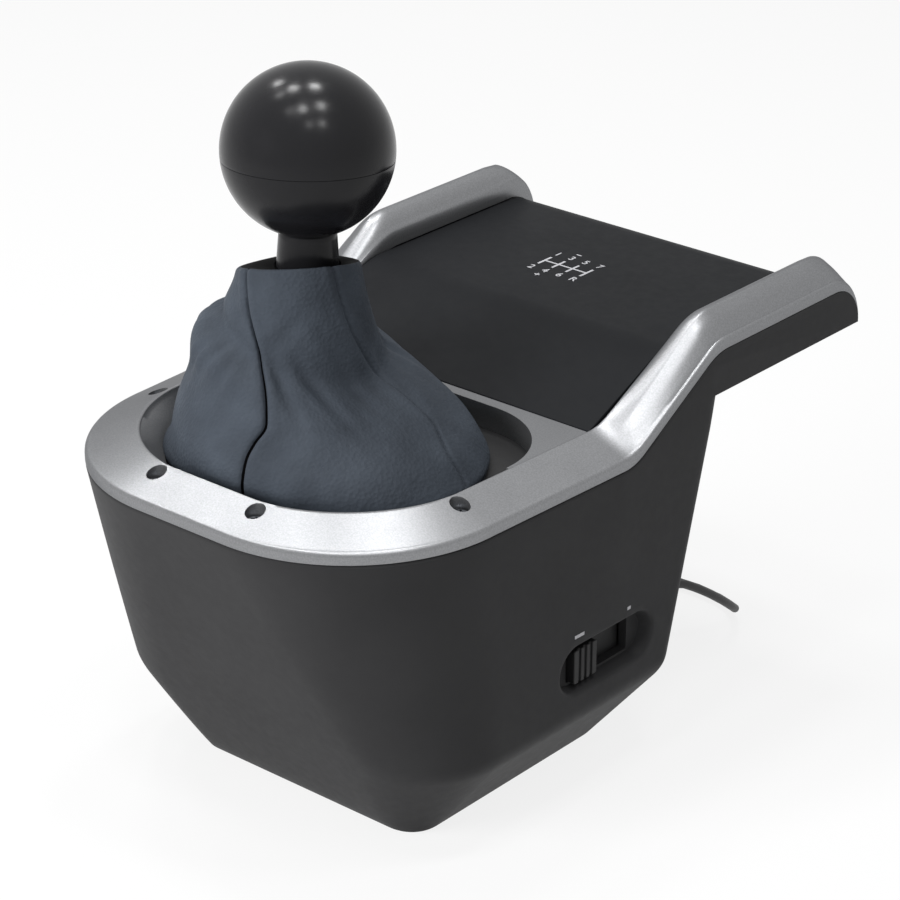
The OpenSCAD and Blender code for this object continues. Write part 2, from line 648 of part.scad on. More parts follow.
// Skirt: share of the way from its foot to the fold, and share of the height, ring by ring
skirt_steps = [[0, 0], [0.03, 0.1], [0.09, 0.2], [0.2, 0.37], [0.32, 0.5], [0.51, 0.67], [0.75, 0.86], [1, 1]];
skirt_shape = [2.1, 2];
function skirt_ring(s, h, inset) = boot_ring_at(
  lerp(0, fold_x, s), lerp(foot_mid_y, fold_y, s),
  lerp(skirt_half_w, fold_half_w, s) - inset, lerp(foot_half_l, fold_half_w, s) - inset,
  lerp(skirt_shape[0], skirt_shape[1], s), lerp(boot_foot_z, fold_z, h) - s * inset, fold = h);
function skirt_rings(inset) = [for (k = skirt_steps) skirt_ring(k[0], k[1], inset)];
module boot_lower() {
  color("#232326") loft(concat(skirt_rings(0), reversed(skirt_rings(boot_t))), loop = true);
}
sleeve_top_z = pivot_z + boot_top_dist * cos(lean);
sleeve_x = lever_x(sleeve_top_z);
sleeve_ring_z = sleeve_top_z + 1;
collar_h = 6;
// Sleeve: share of the height from the fold to the top, ring by ring
sleeve_steps = [0, 0.25, 0.6, 1];
sleeve_bow = 1.4;
edge_slope = 1.5;
function sleeve_ring(h, inset) = let (s = 1 - pow(1 - h, sleeve_bow)) boot_ring_at(
  lerp(fold_x, sleeve_x - sleeve_slump, s), lerp(fold_y, lever_y - sleeve_fore, s),
  lerp(fold_half_w, sleeve_half_w, s) - inset, lerp(fold_half_w, sleeve_half_w, s) - inset,
  skirt_shape[1], lerp(fold_z + shell_gap, sleeve_ring_z, h) - edge_slope * h * inset, fold = 1 - h, edge = h);
sleeve_hole_r = neck_foot_d / 2 + 2 * shell_gap;
sleeve_lip_r = sleeve_half_w - 3;
lip_drop = 0.8;
// Share of the way from the sleeve's edge to the neck at which the turned-in leather bends
lip_share = 0.3;
function sleeve_lip(share, r, drop) = boot_ring_at(
  sleeve_x - sleeve_slump * (1 - share), lever_y - sleeve_fore * (1 - share), r, r, 2,
  sleeve_ring_z - drop, edge = 1 - share);
sleeve_outer = concat([for (h = sleeve_steps) sleeve_ring(h, 0)],
  [sleeve_lip(lip_share, sleeve_lip_r, lip_drop), sleeve_lip(1, sleeve_hole_r, 0)]);
sleeve_inner = concat([for (h = sleeve_steps) sleeve_ring(h, boot_t)],
  [sleeve_lip(lip_share, sleeve_lip_r - 0.4, lip_drop + boot_t), sleeve_lip(1, sleeve_hole_r, boot_t)]);
module boot_upper() {
  color("#232326") loft(concat(sleeve_outer, reversed(sleeve_inner)), loop = true);
}
ring_reach = 6;
seat_in = boot_t + 3;
ring_screw_d = 2.2;
ring_head_d = 4.6;
ring_head_h = 1.6;
ring_screw_grip = 4;
ring_spots = [for (s = [-1, 1]) each [[s * (open_half_w + 3), lever_y + 16], [s * 24, open_rear_y + 2]]];
front_mid_x = body_half_w - front_taper - corner_r_rim;
front_ring_r = corner_r_rim - band_w;
module boot_ring() {
  color("#2a2a2c") translate([0, 0, rim_z - boot_ring_t]) linear_extrude(boot_ring_t) difference() {
    union() {
      boot_opening2d(ring_reach);
      for (s = [-1, 1]) translate([s * front_mid_x, arc_y]) circle(front_ring_r + 1, $fn = 96);
      translate([-front_mid_x, arc_y - front_ring_r - 1]) square([2 * front_mid_x, corner_r_rim]);
    }
    translate([0, foot_mid_y])
      plate2d(skirt_half_w - seat_in, foot_half_l - seat_in, foot_half_l - seat_in - 1);
    for (p = ring_spots) translate(p) circle(d = ring_screw_d + 2 * hole_gap);
    for (p = bezel_screw_spots) translate(p) circle(d = bezel_boss_d + 2 * shell_gap);
  }
}
module ring_screws() {
  color("#6c6c70") for (p = ring_spots) translate([p[0], p[1], rim_z - boot_ring_t])
    mirror([0, 0, 1])
      screw(ring_head_d, ring_head_h, ring_screw_d - 2 * seat_gap, boot_ring_t + ring_screw_grip);
}
module boot_collar() {
  color("#2a2a2c") lever_frame() translate([0, 0, boot_top_dist - collar_h - boot_t - 2])
    tube(boot_collar_d, shaft_d + 2 * seat_gap, collar_h);
}

// Gimbal frame: a floor with two uprights that carry the yoke
upright_y = yoke_half_l + bush_flange + shell_gap;
frame_half_l = upright_y + frame_t;
trunnion_bush_od = trunnion_d + 2 * run_gap + 2 * bush_wall;
gate_post_x = frame_half_w - 5;
gate_post_y = 11;
gate_screw_d = 2.2;
gate_screw_l = 8;
gate_head_d = 5;
gate_head_h = 1.8;
gate_spots = [for (x = [-1, 1], y = [-1, 1]) [x * gate_post_x, y * gate_post_y]];
sensor_gap = 3.2;
spring_pitch = spring_wire + 0.5;
spring_len = spring_turns * spring_pitch + 2 * spring_wire;
trunnion_tip = frame_half_l + spring_len + 2.2;
select_board_y = trunnion_tip + sensor_gap;
sensor_post_x = 9;
frame_screw_d = 3;
frame_screw_l = 8;
frame_head_d = 6;
frame_head_h = 2.2;
module gimbal_frame() {
  color("#8a8d92") at_pivot() difference() {
    union() {
      translate([0, 0, frame_z - pivot_z]) linear_extrude(frame_t) plate2d(frame_half_w, frame_half_l, 3);
      for (s = [-1, 1]) translate([0, s > 0 ? upright_y : -frame_half_l, 0]) along_y() {
        cylinder(r = upright_half_w, h = frame_t);
        translate([-upright_half_w, 0, 0]) cube([2 * upright_half_w, pivot_z - frame_z, frame_t]);
      }
      for (p = gate_spots) translate([p[0], p[1], frame_z + frame_t - pivot_z - eps])
        cylinder(d = 7, h = gate_z - frame_z - frame_t + eps);
      for (s = [-1, 1]) translate([s * sensor_post_x, frame_half_l - eps, -8]) along_y()
        cylinder(d = 4, h = select_board_y - frame_half_l + eps);
    }
    for (s = [-1, 1]) translate([0, s > 0 ? upright_y - 1 : -frame_half_l - 1, 0]) along_y()
      cylinder(d = trunnion_bush_od, h = frame_t + 2);
    for (p = gate_spots) translate([p[0], p[1], frame_z + frame_t - pivot_z])
      cylinder(d = gate_screw_d, h = gate_z);
    for (x = [-1, 1], y = [-1, 1]) translate([x * frame_foot_x, y * frame_foot_y, frame_z - pivot_z - 1])
      cylinder(d = frame_screw_d + 2 * hole_gap, h = frame_t + 2);
  }
}
module frame_screws() {
  color("#6c6c70") for (p = frame_spots) translate([p[0], p[1], frame_z + frame_t])
    screw(frame_head_d, frame_head_h, frame_screw_d - 2 * run_gap, frame_screw_l);
}
module trunnion_bushes() {
  color("#b08a4a") at_pivot() for (s = [-1, 1]) mirror([0, s < 0 ? 1 : 0, 0]) {
    translate([0, upright_y, 0]) along_y()
      tube(trunnion_bush_od - 2 * seat_gap, trunnion_d + 2 * run_gap, frame_t);
    translate([0, upright_y - bush_flange, 0]) along_y()
      tube(trunnion_bush_od + 3, trunnion_d + 2 * run_gap, bush_flange);
  }
}

// Gate plate: four columns joined by the neutral slot
gate_mid = pivot_z - gate_z - gate_t / 2;
columns = [for (k = [-1.5 : 1 : 1.5]) k * column_pitch];
column_x = [for (a = columns) gate_mid * tan(a)];
side_slack = gate_t / 2 * tan(max(columns));
slot_w = roller_d / cos(max(columns)) + 2 * side_slack + 2 * gate_play;
slot_half_l = gate_mid / cos(max(columns)) * tan(throw_angle) + roller_d / 2 / cos(throw_angle)
  + gate_t / 2 * tan(throw_angle) + gate_play;
module gate_plate() {
  color("#7d8085") translate([0, lever_y, gate_z]) linear_extrude(gate_t) difference() {
    plate2d(frame_half_w - 1, upright_y - 0.5, 2);
    for (x = column_x) translate([x, 0]) plate2d(slot_w / 2, slot_half_l, slot_w / 2 - 0.2);
    square([2 * max(column_x) + slot_w - 1, slot_w], center = true);
    for (p = gate_spots) translate(p) circle(d = gate_screw_d + 2 * shell_gap);
  }
}
module gate_screws() {
  color("#6c6c70") translate([0, lever_y, gate_z + gate_t])
    for (p = gate_spots) translate(p) screw(gate_head_d, gate_head_h, gate_screw_d - 2 * run_gap, gate_screw_l);
}

// Springs and their collars
module coil_spring(r) {
  loft(tube_rings(helix(r, spring_pitch, spring_turns, spring_wire), spring_wire / 2, 6));
}
select_spring_r = trunnion_d / 2 + 2.2;
module select_spring() {
  color("#9a9da2") at_pivot() translate([0, frame_half_l + 0.1, 0]) along_y() coil_spring(select_spring_r);
}
collar_t = 2;
module spring_collar() {
  color("#55585c") at_pivot() rotate([0, -lean, 0]) translate([0, frame_half_l + spring_len + 0.2, 0]) along_y()
    tube(2 * select_spring_r + spring_wire + 2, trunnion_d + 2 * seat_gap, collar_t);
}
throw_spring_r = lever_pin_d / 2 + 2.2;
throw_x = yoke_half_w + 0.4;
pin_tip = throw_x + spring_len + collar_t + 0.6;
module throw_spring() {
  color("#9a9da2") lever_frame() translate([throw_x, 0, 0]) along_x() coil_spring(throw_spring_r);
}
module throw_collar() {
  color("#55585c") lever_frame() translate([throw_x + spring_len + 0.2, 0, 0]) along_x()
    tube(2 * throw_spring_r + spring_wire + 2, lever_pin_d + 2 * seat_gap, collar_t);
}

// Sensors
magnet_d = 6;
magnet_t = 2;
sensor_half_w = 14;
sensor_half_h = 11;
throw_board_half_w = 6;
throw_post_y = 8.5;
module select_magnet() {
  color("#a9acb0") lever_frame() translate([0, trunnion_tip + 0.05, 0]) along_y()
    cylinder(d = magnet_d, h = magnet_t);
}
module select_board() {
  color("#1f5a36") at_pivot() translate([0, select_board_y + board_t, -2]) rotate([90, 0, 0])
    linear_extrude(board_t) plate2d(sensor_half_w, sensor_half_h, 1.5);
}
module throw_magnet() {
  color("#a9acb0") lever_frame() translate([-yoke_half_w - 1.05 - magnet_t, 0, 0]) along_x()
    cylinder(d = magnet_d, h = magnet_t);
}
throw_board_x = yoke_half_w + 5;
module throw_board() {
  color("#1f5a36") lever_frame() {
    translate([-throw_board_x - board_t, 0, 0]) along_x() linear_extrude(board_t)
      plate2d(throw_board_half_w, sensor_half_h, 1.5);
    for (s = [-1, 1]) translate([-throw_board_x, s * throw_post_y, 0]) along_x()
      cylinder(d = 3, h = throw_board_x - yoke_half_w);
  }
}

// Yoke: a ring that tilts on two trunnions and carries the lever pin
module yoke_ring() {
  color("#5c5f64") lever_frame() difference() {
    translate([0, 0, -yoke_h / 2]) linear_extrude(yoke_h) difference() {
      plate2d(yoke_half_w, yoke_half_l, 3);
      plate2d(yoke_half_w - yoke_wall, yoke_half_l - yoke_wall, 2);
    }
    translate([-yoke_half_w - 1, 0, 0]) along_x() cylinder(d = yoke_bush_od, h = 2 * yoke_half_w + 2);
    translate([0, -yoke_half_l - 1, 0]) along_y() cylinder(d = trunnion_d, h = 2 * yoke_half_l + 2);
  }
}
yoke_bush_od = lever_pin_d + 2 * run_gap + 2 * bush_wall;
module yoke_bushes() {
  color("#b08a4a") lever_frame() for (s = [0, 1]) mirror([s, 0, 0])
    translate([yoke_half_w - yoke_wall, 0, 0]) along_x() {
      tube(yoke_bush_od - 2 * seat_gap, lever_pin_d + 2 * run_gap, yoke_wall);
      translate([0, 0, -bush_flange]) tube(yoke_bush_od + 2, lever_pin_d + 2 * run_gap, bush_flange);
    }
}
module yoke_trunnions() {
  color("#9da0a5") lever_frame() {
    translate([0, yoke_half_l - yoke_wall, 0]) along_y()
      cylinder(d = trunnion_d - 2 * seat_gap, h = trunnion_tip - yoke_half_l + yoke_wall);
    translate([0, -frame_half_l - 1, 0]) along_y()
      cylinder(d = trunnion_d - 2 * seat_gap, h = frame_half_l + 1 - yoke_half_l + yoke_wall);
  }
}

// Lever
hub_half_w = yoke_half_w - yoke_wall - bush_flange - shell_gap;
hub_d = 14;
hub_h = 14;
shaft_foot = 22;
shaft_top = knob_foot_dist + 5;
stud_top = knob_dist + 8;
module lever_hub() {
  color("#44474b") lever_frame() difference() {
    union() {
      translate([0, 0, -hub_h]) cylinder(d = hub_d + 2, h = 2 * hub_h);
      translate([-hub_half_w, 0, 0]) along_x() cylinder(d = hub_d, h = 2 * hub_half_w);
    }
    translate([0, 0, -hub_h - 1]) cylinder(d = shaft_d + 2 * seat_gap, h = 2 * hub_h + 2);
    translate([-hub_half_w - 1, 0, 0]) along_x()
      cylinder(d = lever_pin_d + 2 * seat_gap, h = 2 * hub_half_w + 2);
  }
}
module lever_shaft() {
  color("#b4b7bb") lever_frame() difference() {
    union() {
      translate([0, 0, -shaft_foot]) cylinder(d = shaft_d, h = shaft_foot + shaft_top);
      translate([0, 0, shaft_top - eps]) cylinder(d = stud_d, h = stud_top - shaft_top + eps);
    }
    translate([-shaft_d, 0, 0]) along_x() cylinder(d = lever_pin_d + 2 * seat_gap, h = 2 * shaft_d);
    translate([0, 0, -shaft_foot - 1]) cylinder(d = gate_pin_d + 2 * seat_gap, h = 9);
  }
}
module lever_pin() {
  color("#9da0a5") lever_frame() translate([-yoke_half_w - 1, 0, 0]) along_x()
    cylinder(d = lever_pin_d, h = yoke_half_w + 1 + pin_tip);
}
roller_top = gate_mid - 6;
module gate_pin() {
  color("#c0c3c7") lever_frame() translate([0, 0, -gate_pin_reach])
    cylinder(d = gate_pin_d, h = gate_pin_reach - shaft_foot + 7.8);
}
module gate_roller() {
  color("#e6e4da") lever_frame() translate([0, 0, -gate_pin_reach])
    tube(roller_d, gate_pin_d + 2 * seat_gap, gate_pin_reach - roller_top);
}

// Knob
insert_d = 13;
insert_h = 20;
split_z = -knob_r * sin(knob_split);
module knob_upper() {
  color("#17181a") lever_frame() translate([0, 0, knob_dist]) difference() {
    sphere(knob_r, $fn = 96);
    sphere(knob_r - knob_wall, $fn = 96);
    translate([0, 0, split_z - 2 * knob_r]) cylinder(r = 2 * knob_r, h = 2 * knob_r);
  }
}
module knob_lower() {
  color("#17181a") lever_frame() translate([0, 0, knob_dist]) difference() {
    union() {
      difference() {
        sphere(knob_r, $fn = 96);
        sphere(knob_r - knob_wall, $fn = 96);
      }
      translate([0, 0, -knob_seat]) cylinder(d = insert_d + 5, h = knob_seat + split_z - 0.5);
    }
    translate([0, 0, split_z]) cylinder(r = 2 * knob_r, h = 2 * knob_r);
    translate([0, 0, -knob_seat - 2 * knob_r]) cylinder(r = 2 * knob_r, h = 2 * knob_r);
    translate([0, 0, -knob_seat - 1]) cylinder(d = insert_d + 2 * seat_gap, h = knob_r);
  }
}
module knob_insert() {
  color("#b8923c") lever_frame() translate([0, 0, shaft_top + 0.2])
    tube(insert_d, stud_d + 2 * seat_gap, min(insert_h, knob_dist + split_z - shaft_top - 2));
}
module neck_collar() {
  foot = boot_top_dist;
  color("#1b1b1d") lever_frame() translate([0, 0, foot]) difference() {
    cylinder(d1 = neck_foot_d, d2 = neck_top_d, h = knob_foot_dist - foot - 0.1);
    translate([0, 0, -1]) cylinder(d = shaft_d + 2 * seat_gap, h = 60);
    translate([0, 0, knob_foot_dist - foot - nut_h - 0.4]) cylinder(d = nut_w + 1, h = 60);
  }
}
nut_w = 13.6;
nut_h = 4;
module lock_nut() {
  color("#8d9095") lever_frame() translate([0, 0, knob_foot_dist - nut_h - 0.2]) difference() {
    cylinder(d = nut_w, h = nut_h, $fn = 6);
    translate([0, 0, -1]) cylinder(d = shaft_d + 2 * seat_gap, h = nut_h + 2);
  }
}

// Mode slider
thumb_y0 = dish_y0 + 0.5;
thumb_play = 0.3;
carriage_half_h = pad_half_h - 2.4 - thumb_play;
cover_lap = 1;
module mode_thumb() {
  x0 = pad_x - thumb_play;
  x1 = dish_x - 1.5;
  color("#2c2c2f") translate([0, thumb_y0, window_z - window_h / 2 + thumb_play]) difference() {
    translate([x0, 0, 0]) cube([x1 - x0, thumb_len, window_h - 2 * thumb_play]);
    for (k = [1 : 3]) translate([x1 - 0.8, k * thumb_len / 4 - 0.6, -1]) cube([2, 1.2, window_h + 2]);
  }
}
module mode_carriage() {
  reach = mode_travel + cover_lap;
  color("#161618") translate([pad_x - thumb_play - carriage_t, thumb_y0 - reach, window_z - carriage_half_h])
    cube([carriage_t, 2 * reach + thumb_len, 2 * carriage_half_h]);
}
switch_half_l = 16;
switch_half_h = 4;
switch_board_half_l = 28;
stem_size = 3;
module switch_stem() {
  s = stem_size;
  color("#e6e4da")
    translate([pad_x - carriage_t - thumb_play - s, thumb_y0 + (thumb_len - s) / 2, window_z - s / 2]) cube(s);
}
module mode_switch() {
  x0 = switch_board_x + board_t;
  x1 = pad_x - carriage_t - thumb_play - stem_size - shell_gap;
  y0 = thumb_y0 + thumb_len / 2 + mode_travel / 2 - switch_half_l;
  color("#3c3c40") translate([x0, y0, window_z - switch_half_h])
    cube([x1 - x0, 2 * switch_half_l, 2 * switch_half_h]);
}
module switch_board() {
  color("#1f5a36") difference() {
    translate([switch_board_x, -window_back, window_z]) along_x() linear_extrude(board_t)
      plate2d(pad_half_h + board_post_d + board_post_gap, switch_board_half_l, 2);
    for (z = board_post_z) translate([switch_board_x - 1, -window_back, z]) along_x()
      cylinder(d = small_screw_d + 2 * hole_gap, h = board_t + 2);
  }
}
module switch_screws() {
  color("#6c6c70") for (z = board_post_z) translate([switch_board_x, -window_back, z]) rotate([0, -90, 0])
    screw(small_head_d, small_head_h, small_screw_d - 2 * run_gap, small_screw_l);
}

// Main board
module main_board() {
  color("#1f5a36") translate([0, board_y, main_board_z]) linear_extrude(board_t) difference() {
    plate2d(board_half_w, board_half_l, 2);
    for (p = board_spots) translate([p[0], p[1] - board_y]) circle(d = small_screw_d + 2 * hole_gap);
  }
}
// Parts on the main board: corner from the board's middle, and size, on its grid
board_grid = 1;
board_blocks = [[[-6, -4], [9, 9, 1.4]], [[10, -7], [5, 6, 1.2]],
  [[-22, -6], [7, 12, 6]], [[14, 5], [10, 6, 5]]];
capacitor_spot = [-12, 9];
capacitor_size = [5, 7];
module board_parts() {
  color("#2b2b2e") translate([0, board_y, main_board_z + board_t]) {
    for (b = board_blocks) translate(b[0] * board_grid) cube(b[1] * board_grid);
    translate(capacitor_spot * board_grid)
      cylinder(d = capacitor_size[0] * board_grid, h = capacitor_size[1] * board_grid);
  }
}
module board_screws() {
  color("#6c6c70") for (p = board_spots) translate([p[0], p[1], main_board_z + board_t])
    screw(small_head_d, small_head_h, small_screw_d - 2 * run_gap, small_screw_l);
}

// Lead: gland, free stretch, stored coil, tail, plug and tie
cord_route = [[42, 46, 36], [42, 52, 36], [42.2, 58, 35.5], [42.6, 64, 34.2], [43.2, 71, 31.6],
  [43.8, 78, 27.4], [44.2, 85, 22.6], [44, 92, 17.5], [42.9, 98.5, 12.6], [40.8, 104.5, 8.2], [37.2, 109.8, 4.8],
  [32.2, 113.7, 3], [26.2, 115.9, 2.6], [19.8, 116.6, 2.6], [13, 116.7, 2.6], [6.2, 116.5, 2.6],
  [-0.4, 116.3, 2.6], [-6, 116.2, 2.6], [-11.5, 116.1, 2.6], [-17, 116.1, 2.6]];
exit_x = cord_route[0][0];
gland_y = cord_route[0][1];
exit_z = cord_route[0][2];
coil_x = -20;
coil_y = 92;
coil_lift = 2.6;
turn_pitch = cord_d + coil_gap;
coil_layers = 4;
coil_span = coil_turns * turn_pitch;
coil_out_r = coil_r + coil_span / 2;
loop_steps = 24;
// Distance along the coil in turns gives its layer, radius and height
coil_total = coil_layers * coil_turns;
function layer_of(t) = min(coil_layers - 1, floor(t / coil_turns));
function layer_part(t) = t - layer_of(t) * coil_turns;
function coil_radius(t) = let (k = layer_of(t), s = layer_part(t) / coil_turns)
  k % 2 == 0 ? coil_out_r - s * coil_span : coil_out_r - (1 - s) * coil_span;
function coil_height(t) =
  let (n = round(t / coil_turns), d = t - n * coil_turns)
  n < 1 || n > coil_layers - 1 || abs(d) > 0.25
    ? coil_lift + layer_of(t) * turn_pitch
    : coil_lift + (n - 1) * turn_pitch + turn_pitch * (d + 0.25) / 0.5;
coil_turn_path = [for (i = [0 : coil_total * loop_steps])
  let (t = i / loop_steps, a = 90 + t * 360, r = coil_radius(t))
  [coil_x + r * cos(a), coil_y + r * sin(a), coil_height(t)]];
// Both ends run straight for one diameter
coil_path = concat([coil_turn_path[0] + [cord_d, 0, 0]], coil_turn_path,
  [coil_turn_path[coil_total * loop_steps] - [cord_d, 0, 0]]);
// Least gap of a wound tube to itself, measured between points over half a turn apart
function self_gap(path, half_turn, d) = min([for (i = [0 : len(path) - 2 - half_turn])
  min([for (j = [i + half_turn : len(path) - 1]) norm(path[i] - path[j])])]) - d;
coil_self_gap = self_gap(coil_turn_path, loop_steps / 2, cord_d);
module cable_gland() {
  y_in = rear_at(exit_z) - 6;
  color("#111111") translate([exit_x, 0, exit_z]) difference() {
    union() {
      translate([0, y_in, 0]) along_y() cylinder(d = gland_d - 2 * seat_gap, h = 14);
      translate([0, y_in + 14 - eps, 0]) along_y() cylinder(d1 = gland_d - 2 * seat_gap, d2 = cord_d + 1.2,
        h = gland_y - y_in - 14 + eps);
    }
    translate([0, y_in - 1, 0]) along_y() cylinder(d = cord_d - 0.6, h = gland_y - y_in);
  }
}
module usb_cord() { color("#141414") loft(tube_rings(cord_route, cord_d / 2, 8)); }
module cord_coil() { color("#141414") loft(tube_rings(coil_path, cord_d / 2, 6)); }

// The tail runs down off the coil into the plug, which lies beside it
tail_route = [[-23, 116.1, 13.1], [-28, 116, 13.1], [-33, 115.4, 12.9], [-38, 114, 12.2], [-43, 111.4, 10.9],
  [-47.4, 107.6, 9], [-50.8, 102.8, 7.2], [-53.2, 97.4, 5.6], [-54.6, 92, 4.6], [-55, 87, 4.2], [-55, 83, 4.2]];
module plug_lead() { color("#141414") loft(tube_rings(tail_route, cord_d / 2, 8)); }
plug_w = 15;
plug_h = 8;
plug_len = 24;
shell_w = 12;
shell_h = 4.5;
shell_len = 13;
plug_start = tail_route[len(tail_route) - 1];
module usb_plug() {
  color("#1a1a1a") translate(plug_start) rotate([90, 0, 0]) linear_extrude(plug_len)
    plate2d(plug_w / 2, plug_h / 2, 2.5);
}
module plug_shell() {
  color("#b9bcc0") translate(plug_start - [0, plug_len, 0]) rotate([90, 0, 0]) difference() {
    linear_extrude(shell_len) plate2d(shell_w / 2, shell_h / 2, 0.4);
    translate([0, 0, 2]) linear_extrude(shell_len) plate2d(shell_w / 2 - 0.4, shell_h / 2 - 0.4, 0.3);
  }
}
tie_t = 0.8;
tie_w = 6;
tie_angle = 215;
tie_gap = 0.25;
tie_in_r = sqrt(pow(coil_r - coil_span / 2 - cord_d / 2, 2) - pow(tie_w / 2, 2)) - tie_gap;
tie_out_r = coil_out_r + cord_d / 2 + tie_gap;
tie_half_w = (tie_out_r - tie_in_r) / 2;
tie_half_h = ((coil_layers - 1) * turn_pitch + cord_d) / 2 + tie_gap;
module cord_tie() {
  color("#26262a") translate([coil_x, coil_y, coil_lift + (coil_layers - 1) * turn_pitch / 2])
    rotate([0, 0, tie_angle]) translate([(tie_in_r + tie_out_r) / 2, tie_w / 2, 0]) rotate([90, 0, 0])
      linear_extrude(tie_w) difference() {
        plate2d(tie_half_w + tie_t, tie_half_h + tie_t, 3);
        plate2d(tie_half_w, tie_half_h, 2.2);
      }
}
echo(coil_self_gap = coil_self_gap);

lower_housing();
base_plate();
base_screws();
mount_inserts();
desk_pads();
top_bezel();
bezel_screws();
top_panel();
boot_ring();
ring_screws();
boot_lower();
boot_upper();
boot_collar();
gimbal_frame();
frame_screws();
trunnion_bushes();
gate_plate();
gate_screws();
select_spring();
select_board();
main_board();
board_parts();
board_screws();
mode_switch();
switch_board();
switch_screws();
cable_gland();
usb_cord();
cord_coil();
plug_lead();
usb_plug();
plug_shell();
cord_tie();
yoke_ring();
yoke_trunnions();
yoke_bushes();
spring_collar();
select_magnet();
throw_board();
lever_shaft();
lever_hub();
lever_pin();
throw_spring();
throw_collar();
throw_magnet();
gate_pin();
gate_roller();
knob_upper();
knob_lower();
knob_insert();
lock_nut();
neck_collar();
mode_thumb();
mode_carriage();
switch_stem();
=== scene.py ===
"""Looks of a gear shifter for a racing simulator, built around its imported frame.

Lengths in this file are millimetres until a mesh is made; +X is right, +Y runs to the desk, +Z is up.
"""
import json
from math import acos, cos, exp, hypot, pi, radians, sin, sqrt, tan

import bmesh
import bpy
from mathutils import Matrix, Vector


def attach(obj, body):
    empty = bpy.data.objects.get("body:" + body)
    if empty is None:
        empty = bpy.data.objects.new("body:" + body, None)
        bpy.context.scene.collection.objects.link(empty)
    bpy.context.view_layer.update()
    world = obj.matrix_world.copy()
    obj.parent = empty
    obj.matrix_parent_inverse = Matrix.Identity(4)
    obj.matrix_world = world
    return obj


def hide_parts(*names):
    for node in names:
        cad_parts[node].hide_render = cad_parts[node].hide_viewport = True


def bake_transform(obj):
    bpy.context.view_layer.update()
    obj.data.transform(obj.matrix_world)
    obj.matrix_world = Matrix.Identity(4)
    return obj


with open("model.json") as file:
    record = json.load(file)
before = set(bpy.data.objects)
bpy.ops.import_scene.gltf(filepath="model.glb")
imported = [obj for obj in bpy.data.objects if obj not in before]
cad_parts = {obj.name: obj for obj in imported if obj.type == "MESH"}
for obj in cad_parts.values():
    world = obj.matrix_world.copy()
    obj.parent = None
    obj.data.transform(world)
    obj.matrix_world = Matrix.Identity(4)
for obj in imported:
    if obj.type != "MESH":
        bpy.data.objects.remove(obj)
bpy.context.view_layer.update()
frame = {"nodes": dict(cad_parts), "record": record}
MM = 0.001

# Camera of the photograph, 900 pixels square
CAMERA_PLACE = (582.54, -678.47, 509.11)
CAMERA_TURN = (65.03, 0, 40.57)
CAMERA_LENS = 124.7

# Housing
BODY_HALF_W = 75
FRONT_TAPER = 2.5
WALL = 3
FLOOR_HALF_W = 46.5
CHAMFER_HALF_W = 72
CHAMFER_Z = 31.5
CHAMFER_SOFT = 3.5
RIM_Z = 109.7
FRONT_REACH = 118
FLOOR_FRONT = 68.5
FRONT_BOW = 0.78
CORNER_R_RIM = 55
CORNER_R_FLOOR = 8
CORNER_BOW = 0.6
FLOOR_REAR = 19.5
REAR_LEAN = 11.6
REAR_CORNER_R = 6
FLOOR_BREAK = 1
REAR_REACH = 118
OVERHANG_Z = 119.7
ROLL_LEN = 14
ROLL_Y = REAR_REACH - ROLL_LEN
TRAY_T = 3
SHELL_GAP = 0.3

# Bezel and panel
BAND_W = 15
BAND_SWELL = 2
BAND_CANT = 5.8
BAND_EDGE = 3.5
RAIL_CROWN = 4.6
LIP_REACH = 4
LIP_CORNER = 3
RAIL_RISE = 24
SLOPE_Y0 = 0
SLOPE_Y1 = 40.5
SLOPE_EASE = 5
OPEN_HALF_W = 57
OPEN_REAR_Y = -8
OPEN_REAR_R = 30
BEZEL_Z = RIM_Z + BAND_EDGE + BAND_CANT
EDGE_ROUND = 1.2
EDGE_DROP = 0.9
LIP_BASE = 1.5
ARC_Y = -FRONT_REACH + CORNER_R_RIM
SCREW_INSET = 4
SCREW_HEAD_D = 5.6
SCREW_HEAD_H = 2
SCREW_SINK = 2.6
SCREW_BORE_R = 1.7
SHANK_R = 1.25
SHANK_LEN = 8
CROSS_HALF_W = 0.35
CROSS_TURN = 0.5
SCREW_SPOTS = [(s * x, y) for s in (-1, 1) for x, y in (
    (20, -FRONT_REACH + BAND_W - SCREW_INSET),
    (BODY_HALF_W - FRONT_TAPER - BAND_W + SCREW_INSET, -FRONT_REACH + 52.5))]
SCREW_SEAT_Z = BEZEL_Z - BAND_CANT * SCREW_INSET / BAND_W - SCREW_SINK - 2
PANEL_FRONT_Y = -3.6
PANEL_FRONT_Z = BEZEL_Z - EDGE_DROP
PANEL_BEND_Y = 31
PANEL_Z = 133.5
PANEL_T = 3
PANEL_EASE = 6
PANEL_HALF_W = BODY_HALF_W - BAND_W - SHELL_GAP
PANEL_UNDER_Z = PANEL_Z - PANEL_T

